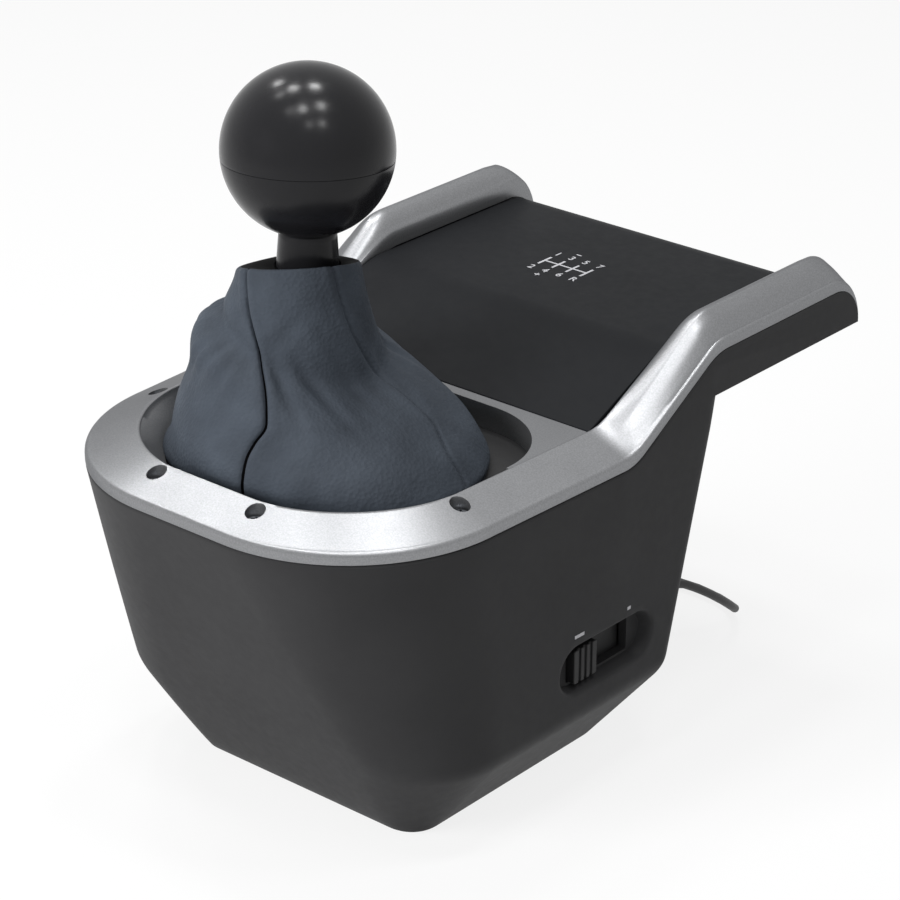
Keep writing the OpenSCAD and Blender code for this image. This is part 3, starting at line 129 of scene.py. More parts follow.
# Lever and boot
LEVER_Y = -48.5
PIVOT_Z = 70
LEAN = 5
KNOB_DIST = 133.9
KNOB_R = 26
KNOB_SPLIT = 6
KNOB_WALL = 3.5
NECK_TOP_D = 17.4
NECK_FOOT_D = 19
NUT_W = 13.6
NUT_H = 4
BOOT_TOP_DIST = 98
BOOT_T = 1.4
REAR_ROOM = 3.2
SKIRT_HALF_W = 51
FOOT_FRONT_Y = -FRONT_REACH + BAND_W + LIP_REACH + 2
FOOT_REAR_Y = OPEN_REAR_Y - 2
BOOT_FOOT_Z = RIM_Z + SHELL_GAP
FOLD_Z = 145
FOLD_LIFT = 8.5
FOLD_FRONT_LIFT = 2.5
FOLD_HALF_W = 24.5
FOLD_SLUMP = 6.5
FOLD_FORE = 3.5
SLEEVE_HALF_W = 18.6
SLEEVE_SLUMP = 4.5
SLEEVE_FORE = 3.5
SLEEVE_LIFT = 6.7
SLEEVE_LIFT_TURN = -39
SLEEVE_BOW = 1.4
SLEEVE_Z = PIVOT_Z + BOOT_TOP_DIST * cos(radians(LEAN)) + 1
SLEEVE_X = -BOOT_TOP_DIST * sin(radians(LEAN)) - SLEEVE_SLUMP
SLEEVE_Y = LEVER_Y - SLEEVE_FORE
FOLD_X = -(FOLD_Z - PIVOT_Z) * tan(radians(LEAN)) - FOLD_SLUMP
FOLD_Y = LEVER_Y - FOLD_FORE
BOOT_SPLIT_Z = 140
LEVER_FRAME = Matrix.Translation((0, LEVER_Y, PIVOT_Z)) @ Matrix.Rotation(radians(-LEAN), 4, "Y")
# The knob and its neck sit on a shaft that is cranked towards the desk
KNOB_MID = LEVER_FRAME @ Vector((0, 0, KNOB_DIST))
KNOB_AXIS = Vector((-0.042, 0.074, 1)).normalized()
KNOB_FRAME = Matrix.Translation(KNOB_MID) @ KNOB_AXIS.to_track_quat("Z", "Y").to_matrix().to_4x4()
NECK_DROP = KNOB_DIST - BOOT_TOP_DIST
# The knob's halves part along a fine line, and its neck meets it at the seat, in degrees below the middle
PART_Z = KNOB_R * sin(radians(-KNOB_SPLIT))
PART_R = KNOB_R * cos(radians(-KNOB_SPLIT))
PART_EDGE = 0.16
PART_GAP = 0.02
PART_TURN = 1.2
KNOB_BORE_R = 6.6
KNOB_BORE_DEPTH = 4
KNOB_SEAT = acos(NECK_TOP_D / 2 / KNOB_R) * 180 / pi
NECK_H = NECK_DROP - KNOB_R * sin(radians(KNOB_SEAT)) - 0.1
NECK_BORE_R = 5.1
NECK_EDGE = 0.4
SOCKET_R = 7.3
SOCKET_H = 4.4

# Mode slider
WINDOW_Y = -8.5
WINDOW_Z = 49
WINDOW_LEN = 30
WINDOW_H = 12
WINDOW_CORNER_R = 0.8
DISH_DEPTH = 4.5
DISH_R = 8.5
DISH_INSET = 1
# Recess: share of its depth, and how far its edge lies outside the dish's radius there
SCOOP = [(1, -2.9), (0.93, -2.3), (0.8, -1.7), (0.4, -0.8), (0.16, -0.3), (0.08, 0), (0.02, 0.5),
         (-0.02, 1.1), (-0.5, 1.2)]
SCOOP_FLAT = 0.3
PAD_RIM = 5
PAD_END = 4
THUMB_LEN = 11
THUMB_PLAY = 0.3
GROOVE_HALF_W = 0.6
GROOVE_DEPTH = 0.8

# Lead
CORD_D = 3
COIL_MID = (-20, 92)
COIL_R = 18
COIL_TURNS = 3.5
COIL_LAYERS = 4
COIL_LIFT = 2.6
COIL_GAP = 0.5
COIL_STEPS = 36
# Part of a turn, before and after a change of layer, on which the lead climbs
LAYER_CHANGE = 0.25
TURN_PITCH = CORD_D + COIL_GAP
GLAND_R = 3.5
GLAND_HOLE_LEN = 24
CORD_ROUTE = [
    (42, 46, 36), (42, 52, 36), (42.2, 58, 35.5), (42.6, 64, 34.2), (43.2, 71, 31.6), (43.8, 78, 27.4),
    (44.2, 85, 22.6), (44, 92, 17.5), (42.9, 98.5, 12.6), (40.8, 104.5, 8.2), (37.2, 109.8, 4.8),
    (32.2, 113.7, 3), (26.2, 115.9, 2.6), (19.8, 116.6, 2.6), (13, 116.7, 2.6), (6.2, 116.5, 2.6),
    (-0.4, 116.3, 2.6), (-6, 116.2, 2.6), (-11.5, 116.1, 2.6), (-17, 116.1, 2.6)]
TAIL_ROUTE = [
    (-23, 116.1, 13.1), (-28, 116, 13.1), (-33, 115.4, 12.9), (-38, 114, 12.2), (-43, 111.4, 10.9),
    (-47.4, 107.6, 9), (-50.8, 102.8, 7.2), (-53.2, 97.4, 5.6), (-54.6, 92, 4.6), (-55, 87, 4.2),
    (-55, 83, 4.2)]


# Numbers
def lerp(a, b, t):
    return a + (b - a) * t


def unit(t):
    return max(0.0, min(1.0, t))


def smooth(t):
    t = unit(t)
    return t * t * (3 - 2 * t)


def eased(t, ease):
    """0 below, t above, with a soft corner between."""
    if t <= -ease:
        return 0.0
    return t if t >= ease else (t + ease) ** 2 / (4 * ease)


def ramp(y, y0, y1, ease):
    return (eased(y - y0, ease) - eased(y - y1, ease)) / (y1 - y0)


def through(points, x):
    """Smooth curve through (x, y) points."""
    k = max(i for i in range(len(points) - 1) if points[i][0] <= x or i == 0)
    (x0, y0), (x1, y1) = points[k], points[k + 1]
    before = points[max(k - 1, 0)]
    after = points[min(k + 2, len(points) - 1)]
    m0 = (y1 - before[1]) / (x1 - before[0])
    m1 = (after[1] - y0) / (after[0] - x0)
    h = x1 - x0
    t = unit((x - x0) / h)
    a, b = 2 * t ** 3 - 3 * t ** 2 + 1, t ** 3 - 2 * t ** 2 + t
    return a * y0 + b * h * m0 + (1 - a) * y1 + (t ** 3 - t ** 2) * h * m1


def bell(x, width):
    return exp(-(x / width) ** 2)


def facing(turn, mid, power):
    """1 where a turn in degrees faces mid, falling to 0 a quarter turn away."""
    return max(0, cos(radians(turn - mid))) ** power


def steps(a, b, n):
    return [lerp(a, b, i / n) for i in range(n + 1)]


def chain(stops, counts):
    """Steps from stop to stop, without the first stop."""
    return [v for a, b, n in zip(stops, stops[1:], counts) for v in steps(a, b, n)[1:]]


def arc(cx, cy, r, a0, a1, n):
    return [(cx + r * cos(radians(a)), cy + r * sin(radians(a))) for a in steps(a0, a1, n)]


# Meshes
def mesh_object(name, verts, faces):
    mesh = bpy.data.meshes.new(name)
    mesh.from_pydata([Vector(v) * MM for v in verts], [], faces)
    work = bmesh.new()
    work.from_mesh(mesh)
    bmesh.ops.recalc_face_normals(work, faces=work.faces)
    work.to_mesh(mesh)
    work.free()
    obj = bpy.data.objects.new(name, mesh)
    bpy.context.scene.collection.objects.link(obj)
    return obj


def loft(name, rings, loop=False):
    """Skin over closed rings of equal length, capped at both ends or closed on itself."""
    rows, cols = len(rings), len(rings[0])
    faces = []
    for i in range(rows if loop else rows - 1):
        a, b = i * cols, (i + 1) % rows * cols
        faces += [(a + j, a + (j + 1) % cols, b + (j + 1) % cols, b + j) for j in range(cols)]
    if not loop:
        faces += [tuple(range(cols)), tuple(range((rows - 1) * cols, rows * cols))]
    return mesh_object(name, [p for r in rings for p in r], faces)


def revolve(name, profile, matrix, sides=96):
    """Closed profile of (radius, height) points turned about an axis; a radius of 0 is a pole."""
    verts, rows, faces = [], [], []
    for r, z in profile:
        if r < 1e-6:
            rows.append([len(verts)] * sides)
            verts.append(matrix @ Vector((0, 0, z)))
        else:
            rows.append(list(range(len(verts), len(verts) + sides)))
            turn = [2 * pi * k / sides for k in range(sides)]
            verts += [matrix @ Vector((r * cos(a), r * sin(a), z)) for a in turn]
    for one, two in zip(rows, rows[1:] + rows[:1]):
        for j in range(sides):
            k = (j + 1) % sides
            corners = list(dict.fromkeys((one[j], one[k], two[k], two[j])))
            if len(corners) > 2:
                faces.append(corners)
    return mesh_object(name, verts, faces)


def prism(name, outline, place):
    """Outline of (u, v) points, drawn out between the two ends that place(u, v, end) gives."""
    return loft(name, [[place(u, v, end) for u, v in outline] for end in (0, 1)])


def side_prism(name, outline, x0, x1):
    return prism(name, outline, lambda y, z, end: (x1 if end else x0, y, z))


def block(name, low, high):
    (x0, y0, z0), (x1, y1, z1) = low, high
    return side_prism(name, [(y0, z0), (y1, z0), (y1, z1), (y0, z1)], x0, x1)


def rounded_box(name, low, high, r, n=4):
    """Box whose four edges along X are round."""
    (x0, y0, z0), (x1, y1, z1) = low, high
    corners = [(y1 - r, z1 - r, 0), (y0 + r, z1 - r, 90), (y0 + r, z0 + r, 180), (y1 - r, z0 + r, 270)]
    outline = [p for cy, cz, a in corners for p in arc(cy, cz, r, a, a + 90, n)]
    return side_prism(name, outline, x0, x1)


def combine(obj, other, operation="UNION"):
    bpy.context.view_layer.update()
    change = obj.modifiers.new("combine", "BOOLEAN")
    change.operation = operation
    change.object = other
    change.solver = "EXACT"
    mesh = bpy.data.meshes.new_from_object(obj.evaluated_get(bpy.context.evaluated_depsgraph_get()))
    obj.modifiers.clear()
    obj.data = mesh
    bpy.data.objects.remove(other)
    return obj


def bevel(obj, width, segments=2, angle=40):
    change = obj.modifiers.new("bevel", "BEVEL")
    change.width = width * MM
    change.segments = segments
    change.limit_method = "ANGLE"
    change.angle_limit = radians(angle)
    change.harden_normals = False
    return obj


def join(obj, other):
    """Adds the other object's mesh to obj."""
    work = bmesh.new()
    work.from_mesh(obj.data)
    work.from_mesh(other.data)
    work.to_mesh(obj.data)
    work.free()
    bpy.data.objects.remove(other)
    return obj


def dress(obj, body, slot, nodes=(), sharp=35, finish=None):
    """Shades a piece, gives it its finish and lets it ride on its body."""
    obj.data.shade_smooth()
    obj.data.set_sharp_from_angle(angle=radians(sharp))
    obj.data.materials.clear()
    obj.data.materials.append(finish or FINISH[slot])
    if nodes:
        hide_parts(*nodes)
    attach(obj, body)
    return obj


# Finishes
def srgb(code):
    """Linear colour of a hex code."""
    parts = [int(code[i:i + 2], 16) / 255 for i in (1, 3, 5)]
    return tuple(c / 12.92 if c <= 0.04045 else ((c + 0.055) / 1.055) ** 2.4 for c in parts) + (1,)


class Finish:
    """Procedural material in the making."""

    def __init__(self, name, roughness, metallic=0.0, specular=0.5):
        self.mat = bpy.data.materials.new(name)
        self.mat.use_nodes = True
        self.nodes = self.mat.node_tree.nodes
        self.links = self.mat.node_tree.links
        self.shader = self.nodes["Principled BSDF"]
        self.shader.inputs["Roughness"].default_value = roughness
        self.shader.inputs["Metallic"].default_value = metallic
        self.shader.inputs["Specular IOR Level"].default_value = specular
        self.normal = None

    def place(self, stretch=(1, 1, 1)):
        coords = self.nodes.new("ShaderNodeTexCoord")
        mapping = self.nodes.new("ShaderNodeMapping")
        mapping.inputs["Scale"].default_value = stretch
        self.links.new(coords.outputs["Object"], mapping.inputs["Vector"])
        return mapping.outputs["Vector"]

    def noise(self, size, detail=2.0, stretch=(1, 1, 1)):
        """Noise whose features are about size millimetres across."""
        node = self.nodes.new("ShaderNodeTexNoise")
        node.inputs["Scale"].default_value = 1 / (size * MM)
        node.inputs["Detail"].default_value = detail
        self.links.new(self.place(stretch), node.inputs["Vector"])
        return node.outputs["Fac"]

    def cells(self, size):
        node = self.nodes.new("ShaderNodeTexVoronoi")
        node.feature = "F1"
        node.inputs["Scale"].default_value = 1 / (size * MM)
        self.links.new(self.place(), node.inputs["Vector"])
        return node.outputs["Distance"]

    def waves(self, size):
        """Bands about size millimetres apart."""
        node = self.nodes.new("ShaderNodeTexWave")
        node.bands_direction = "X"
        node.inputs["Scale"].default_value = 0.314 / (size * MM)
        node.inputs["Distortion"].default_value = 0.4
        self.links.new(self.place(), node.inputs["Vector"])
        return node.outputs["Fac"]

    def colour(self, fac, dark, light, low=0.3, high=0.7):
        node = self.nodes.new("ShaderNodeValToRGB")
        node.color_ramp.elements[0].position = low
        node.color_ramp.elements[1].position = high
        node.color_ramp.elements[0].color = srgb(dark)
        node.color_ramp.elements[1].color = srgb(light)
        self.links.new(fac, node.inputs["Fac"])
        self.links.new(node.outputs["Color"], self.shader.inputs["Base Color"])

    def rough(self, fac, low, high):
        node = self.nodes.new("ShaderNodeMapRange")
        node.inputs["From Min"].default_value = 0.3
        node.inputs["From Max"].default_value = 0.7
        node.inputs["To Min"].default_value = low
        node.inputs["To Max"].default_value = high
        self.links.new(fac, node.inputs["Value"])
        self.links.new(node.outputs["Result"], self.shader.inputs["Roughness"])

    def bump(self, fac, depth, strength=1.0):
        """Height of the surface, in millimetres, on top of what is there already."""
        node = self.nodes.new("ShaderNodeBump")
        node.inputs["Distance"].default_value = depth * MM
        node.inputs["Strength"].default_value = strength
        self.links.new(fac, node.inputs["Height"])
        if self.normal:
            self.links.new(self.normal, node.inputs["Normal"])
        self.normal = node.outputs["Normal"]
        self.links.new(self.normal, self.shader.inputs["Normal"])


def moulded(name, dark, light, roughness, grain=0.35, depth=0.02, specular=0.5):
    """Moulded plastic: fine spark grain, slow colour drift and uneven gloss."""
    f = Finish(name, roughness, specular=specular)
    f.colour(f.noise(30, 3), dark, light)
    f.rough(f.noise(3, 4), roughness - 0.03, roughness + 0.03)
    f.bump(f.noise(grain, 2), depth)
    return f.mat


def silver_finish():
    """Satin silver: fine flakes and a slight unevenness."""
    f = Finish("silver", 0.36, metallic=0.82, specular=0.2)
    f.shader.inputs["Specular Tint"].default_value = (0.35, 0.35, 0.36, 1)
    f.colour(f.noise(0.5, 2), "#858688", "#949597")
    f.rough(f.noise(12, 3), 0.34, 0.38)
    f.bump(f.noise(0.4, 2), 0.006)
    return f.mat


def leather_finish():
    f = Finish("boot_leather", 0.62, specular=0.07)
    f.colour(f.noise(14, 4), "#383d44", "#434951")
    f.rough(f.noise(3, 4), 0.56, 0.68)
    f.bump(f.cells(1.2), 0.16)
    f.bump(f.noise(0.6, 3), 0.08, 0.8)
    f.bump(f.noise(6, 3), 0.25, 0.5)
    return f.mat


def rubber_finish():
    f = Finish("pad_rubber", 0.7, specular=0.35)
    f.colour(f.noise(5, 4), "#141414", "#1d1d1d")
    f.bump(f.noise(0.6, 3), 0.05)
    return f.mat


def cord_finish():
    f = Finish("cord_black", 0.5, specular=0.4)
    f.colour(f.noise(4, 3), "#0d0d0e", "#151516")
    f.bump(f.noise(0.4, 2), 0.02)
    return f.mat


def metal_finish(name, dark, light, roughness):
    f = Finish(name, roughness, metallic=1.0)
    f.colour(f.noise(2, 4), dark, light)
    f.rough(f.noise(4, 4), roughness - 0.08, roughness + 0.08)
    f.bump(f.noise(0.3, 3, (1, 1, 0.15)), 0.006)
    return f.mat


def board_finish():
    f = Finish("board_green", 0.4)
    f.colour(f.waves(2.4), "#123a22", "#1b5230", 0.35, 0.5)
    f.bump(f.waves(2.4), 0.03)
    return f.mat


def print_finish():
    f = Finish("print_white", 0.55)
    f.colour(f.noise(0.8, 3), "#a6a6aa", "#bcbcc0")
    f.bump(f.noise(0.3, 2), 0.01)
    return f.mat


FINISH = {
    "housing_black": moulded("housing_black", "#2e2e2f", "#323233", 0.55, 0.45, 0.02, 0.1),
    "panel_black": moulded("panel_black", "#191a1c", "#1c1d1f", 0.5, 0.4, 0.015, 0.05),
    "silver": silver_finish(),
    "boot_leather": leather_finish(),
    "knob_black": moulded("knob_black", "#18181a", "#1b1b1d", 0.22, 0.3, 0.003, 0.2),
    "inner_plastic": moulded("inner_plastic", "#161617", "#1b1b1c", 0.55, specular=0.3),
    "pad_rubber": rubber_finish(),
    "cord_black": cord_finish(),
    "steel": metal_finish("steel", "#8d9096", "#a6a9ae", 0.32),
    "frame_steel": metal_finish("frame_steel", "#62656a", "#74777c", 0.42),
    "bush_brass": metal_finish("bush_brass", "#a07b35", "#b9944a", 0.35),
    "board_green": board_finish(),
    "nylon_white": moulded("nylon_white", "#c9c7bf", "#d8d6cf", 0.5),
}
PRINT_WHITE = print_finish()
# Black finish: the dark thread in the front seam, and painted shade on the sleeve's lip under the knob
SEAM_AND_SHADE_BLACK = moulded("seam_and_shade_black", "#060607", "#0a0a0b", 0.7, 0.5, 0.03, 0.03)


# Forms of the housing
def half_w_at(z):
    draft = (BODY_HALF_W - CHAMFER_HALF_W) / (RIM_Z - CHAMFER_Z)
    flare = (CHAMFER_HALF_W - FLOOR_HALF_W) / CHAMFER_Z
    straight = CHAMFER_HALF_W + draft * (min(z, RIM_Z) - CHAMFER_Z)
    return straight - (flare - draft) * eased(CHAMFER_Z - z, CHAMFER_SOFT)


def front_at(z):
    return -lerp(FLOOR_FRONT, FRONT_REACH, unit(z / RIM_Z) ** FRONT_BOW)


def rear_at(z):
    return FLOOR_REAR + z * tan(radians(REAR_LEAN))


def corner_r_at(z):
    return lerp(CORNER_R_FLOOR, CORNER_R_RIM, unit(z / RIM_Z) ** CORNER_BOW)


def rise_at(y):
    return RAIL_RISE * ramp(y, SLOPE_Y0, SLOPE_Y1, SLOPE_EASE)


def side_x(y, z, inset=0):
    """Side wall: it draws in towards the front corner."""
    front = front_at(z) + corner_r_at(z)
    taper = FRONT_TAPER * unit(z / RIM_Z)
    back = SLOPE_Y0 - SLOPE_EASE
    return half_w_at(z) - inset - taper * (1 - unit((y - front) / (back - front)))


# Columns of the housing's half outline: which stretch, and how far along it
WALL_COLUMNS = (
    [("front", t) for t in steps(0, 1, 8)[:-1]] + [("corner", t) for t in steps(0, 1, 28)[:-1]]
    + [("side", t) for t in steps(0, 1, 44)[:-1]] + [("back", t) for t in steps(0, 1, 8)[:-1]]
    + [("rear", t) for t in steps(0, 1, 8)])
STRETCH_Z = 60
REAR_RIM_Z = PANEL_UNDER_Z - SHELL_GAP
CHAMFER_BAND = 4
# Broken edge at the rim: inset and drop
RIM_BREAK = [(0, 0.9), (0.12, 0.5), (0.4, 0.15), (0.8, 0)]
RIM_BREAK_H = 1.4


def wall_point(part, t, z, inset):
    yf, yr = front_at(z) + inset, rear_at(z) - inset
    r = corner_r_at(z) - inset
    rr = max(REAR_CORNER_R - inset, 1)
    wf = side_x(front_at(z), z, inset)
    wr = half_w_at(z) - inset
    if part == "front":
        return t * (wf - r), yf
    if part == "corner":
        a = radians(90 * t)
        return wf - r + r * sin(a), yf + r - r * cos(a)
    if part == "side":
        y = lerp(yf + r, yr - rr, t)
        return side_x(y, z, inset), y
    if part == "back":
        a = radians(90 * t)
        return wr - rr + rr * cos(a), yr - rr + rr * sin(a)
    return (wr - rr) * (1 - t), yr


def wall_top(part, t):
    if part in ("front", "corner"):
        return RIM_Z
    if part in ("back", "rear"):
        return REAR_RIM_Z
    z = RIM_Z
    for _ in range(30):
        z = RIM_Z + rise_at(wall_point(part, t, z, 0)[1])
    return z


WALL_TOPS = [wall_top(part, t) for part, t in WALL_COLUMNS]


def wall_ring(level, inset):
    half = []
    for (part, t), top in zip(WALL_COLUMNS, WALL_TOPS):
        z = level
        if level > STRETCH_Z:
            z = lerp(STRETCH_Z, top, (level - STRETCH_Z) / (RIM_Z - STRETCH_Z))
        half.append((*wall_point(part, t, z, inset), z))
    return half + [(-x, y, z) for x, y, z in reversed(half[1:-1])]


def wall_shell():
    edge = [(FLOOR_BREAK * (1 - sin(a)), FLOOR_BREAK * (1 - cos(a))) for a in steps(0, pi / 2, 4)]
    stops = [FLOOR_BREAK, CHAMFER_Z - CHAMFER_BAND, CHAMFER_Z + CHAMFER_BAND, STRETCH_Z, RIM_Z - RIM_BREAK_H]
    levels = chain(stops, [8, 8, 7, 14])
    outer = ([wall_ring(z, inset) for inset, z in edge] + [wall_ring(z, 0) for z in levels]
             + [wall_ring(RIM_Z - drop, inset) for inset, drop in RIM_BREAK])
    inner = [wall_ring(z, WALL) for z in [RIM_Z] + levels[::-3] + [0]]
    return loft("housing_shell", outer + inner, loop=True)


def cheek_outline():
    """Side of the desk overhang: along below, round its rolled end and forward to the slope."""
    height = RIM_Z + RAIL_RISE - OVERHANG_Z
    outline = [(rear_at(OVERHANG_Z) - 2 * WALL, OVERHANG_Z), (REAR_REACH, OVERHANG_Z)]
    outline += [(ROLL_Y + ROLL_LEN * sin(radians(a)), OVERHANG_Z + height * cos(radians(a)))
                for a in steps(87, 0, 14)]
    slope = steps(SLOPE_Y1 + SLOPE_EASE, SLOPE_Y0 + 2 * SLOPE_EASE, 16)
    return outline + [(y, RIM_Z + rise_at(y)) for y in slope]


def cut_gland_hole(body):
    exit_x, _, exit_z = CORD_ROUTE[0]
    inside = Matrix.Translation((exit_x, rear_at(exit_z) - GLAND_HOLE_LEN / 2, exit_z))
    hole = [(0, 0), (GLAND_R, 0), (GLAND_R, GLAND_HOLE_LEN), (0, GLAND_HOLE_LEN)]
    along_y = inside @ Matrix.Rotation(-pi / 2, 4, "X")
    combine(body, revolve("gland_hole", hole, along_y, 48), "DIFFERENCE")


def build_housing():
    body = wall_shell()
    skin = 0.02
    for s in (-1, 1):
        plate = side_prism("cheek", cheek_outline(), s * (BODY_HALF_W - WALL), s * (BODY_HALF_W - skin))
        combine(body, plate)
    tray_rear = REAR_REACH - 2 * SHELL_GAP - PANEL_T
    tray_w = BODY_HALF_W - WALL / 2
    combine(body, block("tray", (-tray_w, rear_at(OVERHANG_Z) - WALL, OVERHANG_Z + 0.01),
                        (tray_w, tray_rear, OVERHANG_Z + TRAY_T)))
    cut_slider_window(body)
    cut_gland_hole(body)
    dress(body, "housing", "housing_black", ["lower_housing"], sharp=32)


DISH_X = side_x(WINDOW_Y, WINDOW_Z)
DISH_FLOOR_X = DISH_X - DISH_DEPTH
PAD_X = DISH_FLOOR_X - WALL
DISH_Y0 = WINDOW_Y - WINDOW_LEN / 2
DISH_Y1 = WINDOW_Y + WINDOW_LEN / 2


def scoop_ring(share, out):
    ring = []
    for mid, a0 in ((DISH_Y1 - DISH_INSET, -90), (DISH_Y0 + DISH_INSET, 90)):
        for y, z in arc(mid, WINDOW_Z, DISH_R + out, a0, a0 + 180, 24):
            near = side_x(y, z) - share * DISH_DEPTH
            flat = smooth((share - SCOOP_FLAT) / (1 - SCOOP_FLAT))
            ring.append((lerp(near, DISH_FLOOR_X, flat), y, z))
    return ring


def cut_slider_window(body):
    """Scooped recess with a soft edge, a thickened wall behind it and the slider's window."""
    half_h = WINDOW_H / 2
    pad_half_h = half_h + PAD_RIM
    combine(body, block("pad", (PAD_X, DISH_Y0 - DISH_R - PAD_END, WINDOW_Z - pad_half_h),
                        (DISH_X - WALL / 2, DISH_Y1 + DISH_R + PAD_END, WINDOW_Z + pad_half_h)))
    combine(body, loft("scoop", [scoop_ring(share, out) for share, out in SCOOP]), "DIFFERENCE")
    low, high = (PAD_X - 1, DISH_Y0, WINDOW_Z - half_h), (DISH_FLOOR_X + 1, DISH_Y1, WINDOW_Z + half_h)
    combine(body, rounded_box("window", low, high, WINDOW_CORNER_R), "DIFFERENCE")


# Forms of the bezel
def cant_z(s):
    return BAND_EDGE + BAND_CANT * s / BAND_W


CROWN_SHAPE = [(0, 0), (0.08, 0.1), (0.3, 0.75), (0.54, 1)]
CROWN_FADE = 16
LIP_FADE = 14
CREST_S = 8
RAIL_FOOT = 2.2
INNER_ROUND = 0.7
DECK_LAP = 1.2


def rail_z(s):
    """Height of a rail: crowned up to its crest, and round from there down to the panel."""
    crest = cant_z(CREST_S) + RAIL_CROWN
    if s <= CREST_S:
        return cant_z(s) + RAIL_CROWN * through(CROWN_SHAPE, s / BAND_W)
    across = (s - CREST_S) / (BAND_W - CREST_S)
    return RAIL_FOOT + (crest - RAIL_FOOT) * sqrt(max(0, 1 - across ** 2))


def band_section(crown, lip):
    """Distance in from the outer edge, and height above the rim, round the band's section."""
    foot = [(0.4, 0), (0.08, 0.25), (0, 0.7)]
    edge_z = BAND_EDGE - EDGE_ROUND
    corner = cant_z(EDGE_ROUND) - edge_z
    outer = [(EDGE_ROUND * (1 - cos(a)), edge_z + corner * sin(a)) for a in steps(0, pi / 2, 5)]
    inner_s = BAND_W - INNER_ROUND
    top = [(s, lerp(cant_z(s), rail_z(s), crown)) for s in steps(EDGE_ROUND, inner_s, 22)]
    end = top[-1][1]
    drop = lerp(cant_z(BAND_W) - EDGE_DROP, RAIL_FOOT, crown)
    inner = [(inner_s + INNER_ROUND * sin(a), lerp(drop, end, cos(a))) for a in steps(0, pi / 2, 4)]
    reach = BAND_W + LIP_REACH * lip
    slope = [(lerp(BAND_W, reach, t), lerp(drop, LIP_BASE, t)) for t in steps(0, 1, 5)]
    under = [(reach, 0.01), (reach - 1, 0)]
    return foot + outer + top[1:-1] + inner + slope[1:] + under


def roll_share(y):
    return 1 if y <= ROLL_Y else sqrt(max(0, 1 - ((y - ROLL_Y) / ROLL_LEN) ** 2))


def band_z(y, dz):
    z = RIM_Z + rise_at(y) + dz
    return z if y <= ROLL_Y else OVERHANG_Z + (z - OVERHANG_Z) * roll_share(y)


def band_out_x(y):
    return BODY_HALF_W - FRONT_TAPER * unit((SLOPE_Y0 - y) / (SLOPE_Y0 - ARC_Y))


def rail_ring(y):
    crown = ramp(y, SLOPE_Y0, SLOPE_Y1, SLOPE_EASE) * unit((REAR_REACH - y) / CROWN_FADE)
    lip = smooth((OPEN_REAR_Y - y) / LIP_FADE)
    return [(band_out_x(y) - s, y, band_z(y, dz)) for s, dz in band_section(crown, lip)]


def corner_ring(a):
    ring = []
    for s, dz in band_section(0, 1 + LIP_CORNER / LIP_REACH * sin(2 * a)):
        r = CORNER_R_RIM - s - min(1, s / BAND_W) * BAND_SWELL * sin(2 * a)
        ring.append((BODY_HALF_W - FRONT_TAPER - CORNER_R_RIM + r * cos(a), ARC_Y - r * sin(a), RIM_Z + dz))
    return ring


def deck_outline():
    """Deck between the rails and behind the boot, with the boot's mouth cut into it."""
    y0, y1 = OPEN_REAR_Y - OPEN_REAR_R - DECK_LAP, PANEL_FRONT_Y - SHELL_GAP
    x0, x1 = (band_out_x(y) - BAND_W + DECK_LAP for y in (y0, y1))
    mid_x = OPEN_HALF_W - OPEN_REAR_R
    mouth = arc(mid_x, OPEN_REAR_Y - OPEN_REAR_R, OPEN_REAR_R, 0, 90, 24)
    mouth += [(-x, y) for x, y in reversed(mouth)]
    sides = [(x0, y0), (x1, y1), (-x1, y1), (-x0, y0)]
    return sides + [(-OPEN_HALF_W, y0)] + mouth[::-1] + [(OPEN_HALF_W, y0)]


def build_bezel():
    stops = [ROLL_Y, SLOPE_Y1 + SLOPE_EASE, SLOPE_Y1 - SLOPE_EASE, SLOPE_Y0 + SLOPE_EASE,
             SLOPE_Y0 - SLOPE_EASE, ARC_Y]
    stations = [ROLL_Y + ROLL_LEN * sin(radians(a)) for a in steps(86, 0, 16)]
    stations += chain(stops, [10, 12, 8, 12, 20])
    right = [rail_ring(y) for y in stations] + [corner_ring(a) for a in steps(0, pi / 2, 44)[1:]]
    left = [[(-x, y, z) for x, y, z in ring] for ring in reversed(right)]
    bezel = loft("bezel", right + left)
    deck_z = BEZEL_Z - EDGE_DROP - 0.1
    combine(bezel, prism("deck", deck_outline(), lambda x, y, end: (x, y, deck_z if end else RIM_Z + 0.02)))
    head_r = SCREW_HEAD_D / 2 + SHELL_GAP
    hole = [(0, -20), (SCREW_BORE_R, -20), (SCREW_BORE_R, 0), (head_r, 0), (head_r, 12), (0, 12)]
    for x, y in SCREW_SPOTS:
        combine(bezel, revolve("hole", hole, Matrix.Translation((x, y, SCREW_SEAT_Z)), 40), "DIFFERENCE")
    dress(bezel, "housing", "silver", ["top_bezel"], sharp=30)


def build_bezel_screws():
    """Pan heads with a cross recess, on short shanks."""
    r, h = SCREW_HEAD_D / 2, SCREW_HEAD_H
    profile = [(0, h), (r * 0.5, h), (r * 0.8, h * 0.9), (r, h * 0.45), (r, 0), (SHANK_R, 0),
               (SHANK_R, -SHANK_LEN), (0, -SHANK_LEN)]
    low, high = (-r * 0.55, -CROSS_HALF_W, h * 0.35), (r * 0.55, CROSS_HALF_W, h + 1)
    group = None
    for x, y in SCREW_SPOTS:
        place = Matrix.Translation((x, y, SCREW_SEAT_Z))
        one = revolve("bezel_screw_set", profile, place, 32)
        for a in (CROSS_TURN, CROSS_TURN + pi / 2):
            cut = block("slot", low, high)
            cut.data.transform(Matrix.Scale(1 / MM, 4))
            cut.data.transform(place @ Matrix.Rotation(a, 4, "Z"))
            cut.data.transform(Matrix.Scale(MM, 4))
            combine(one, cut, "DIFFERENCE")
        group = one if group is None else join(group, one)
    dress(group, "housing", "steel", ["bezel_screws"], sharp=40)


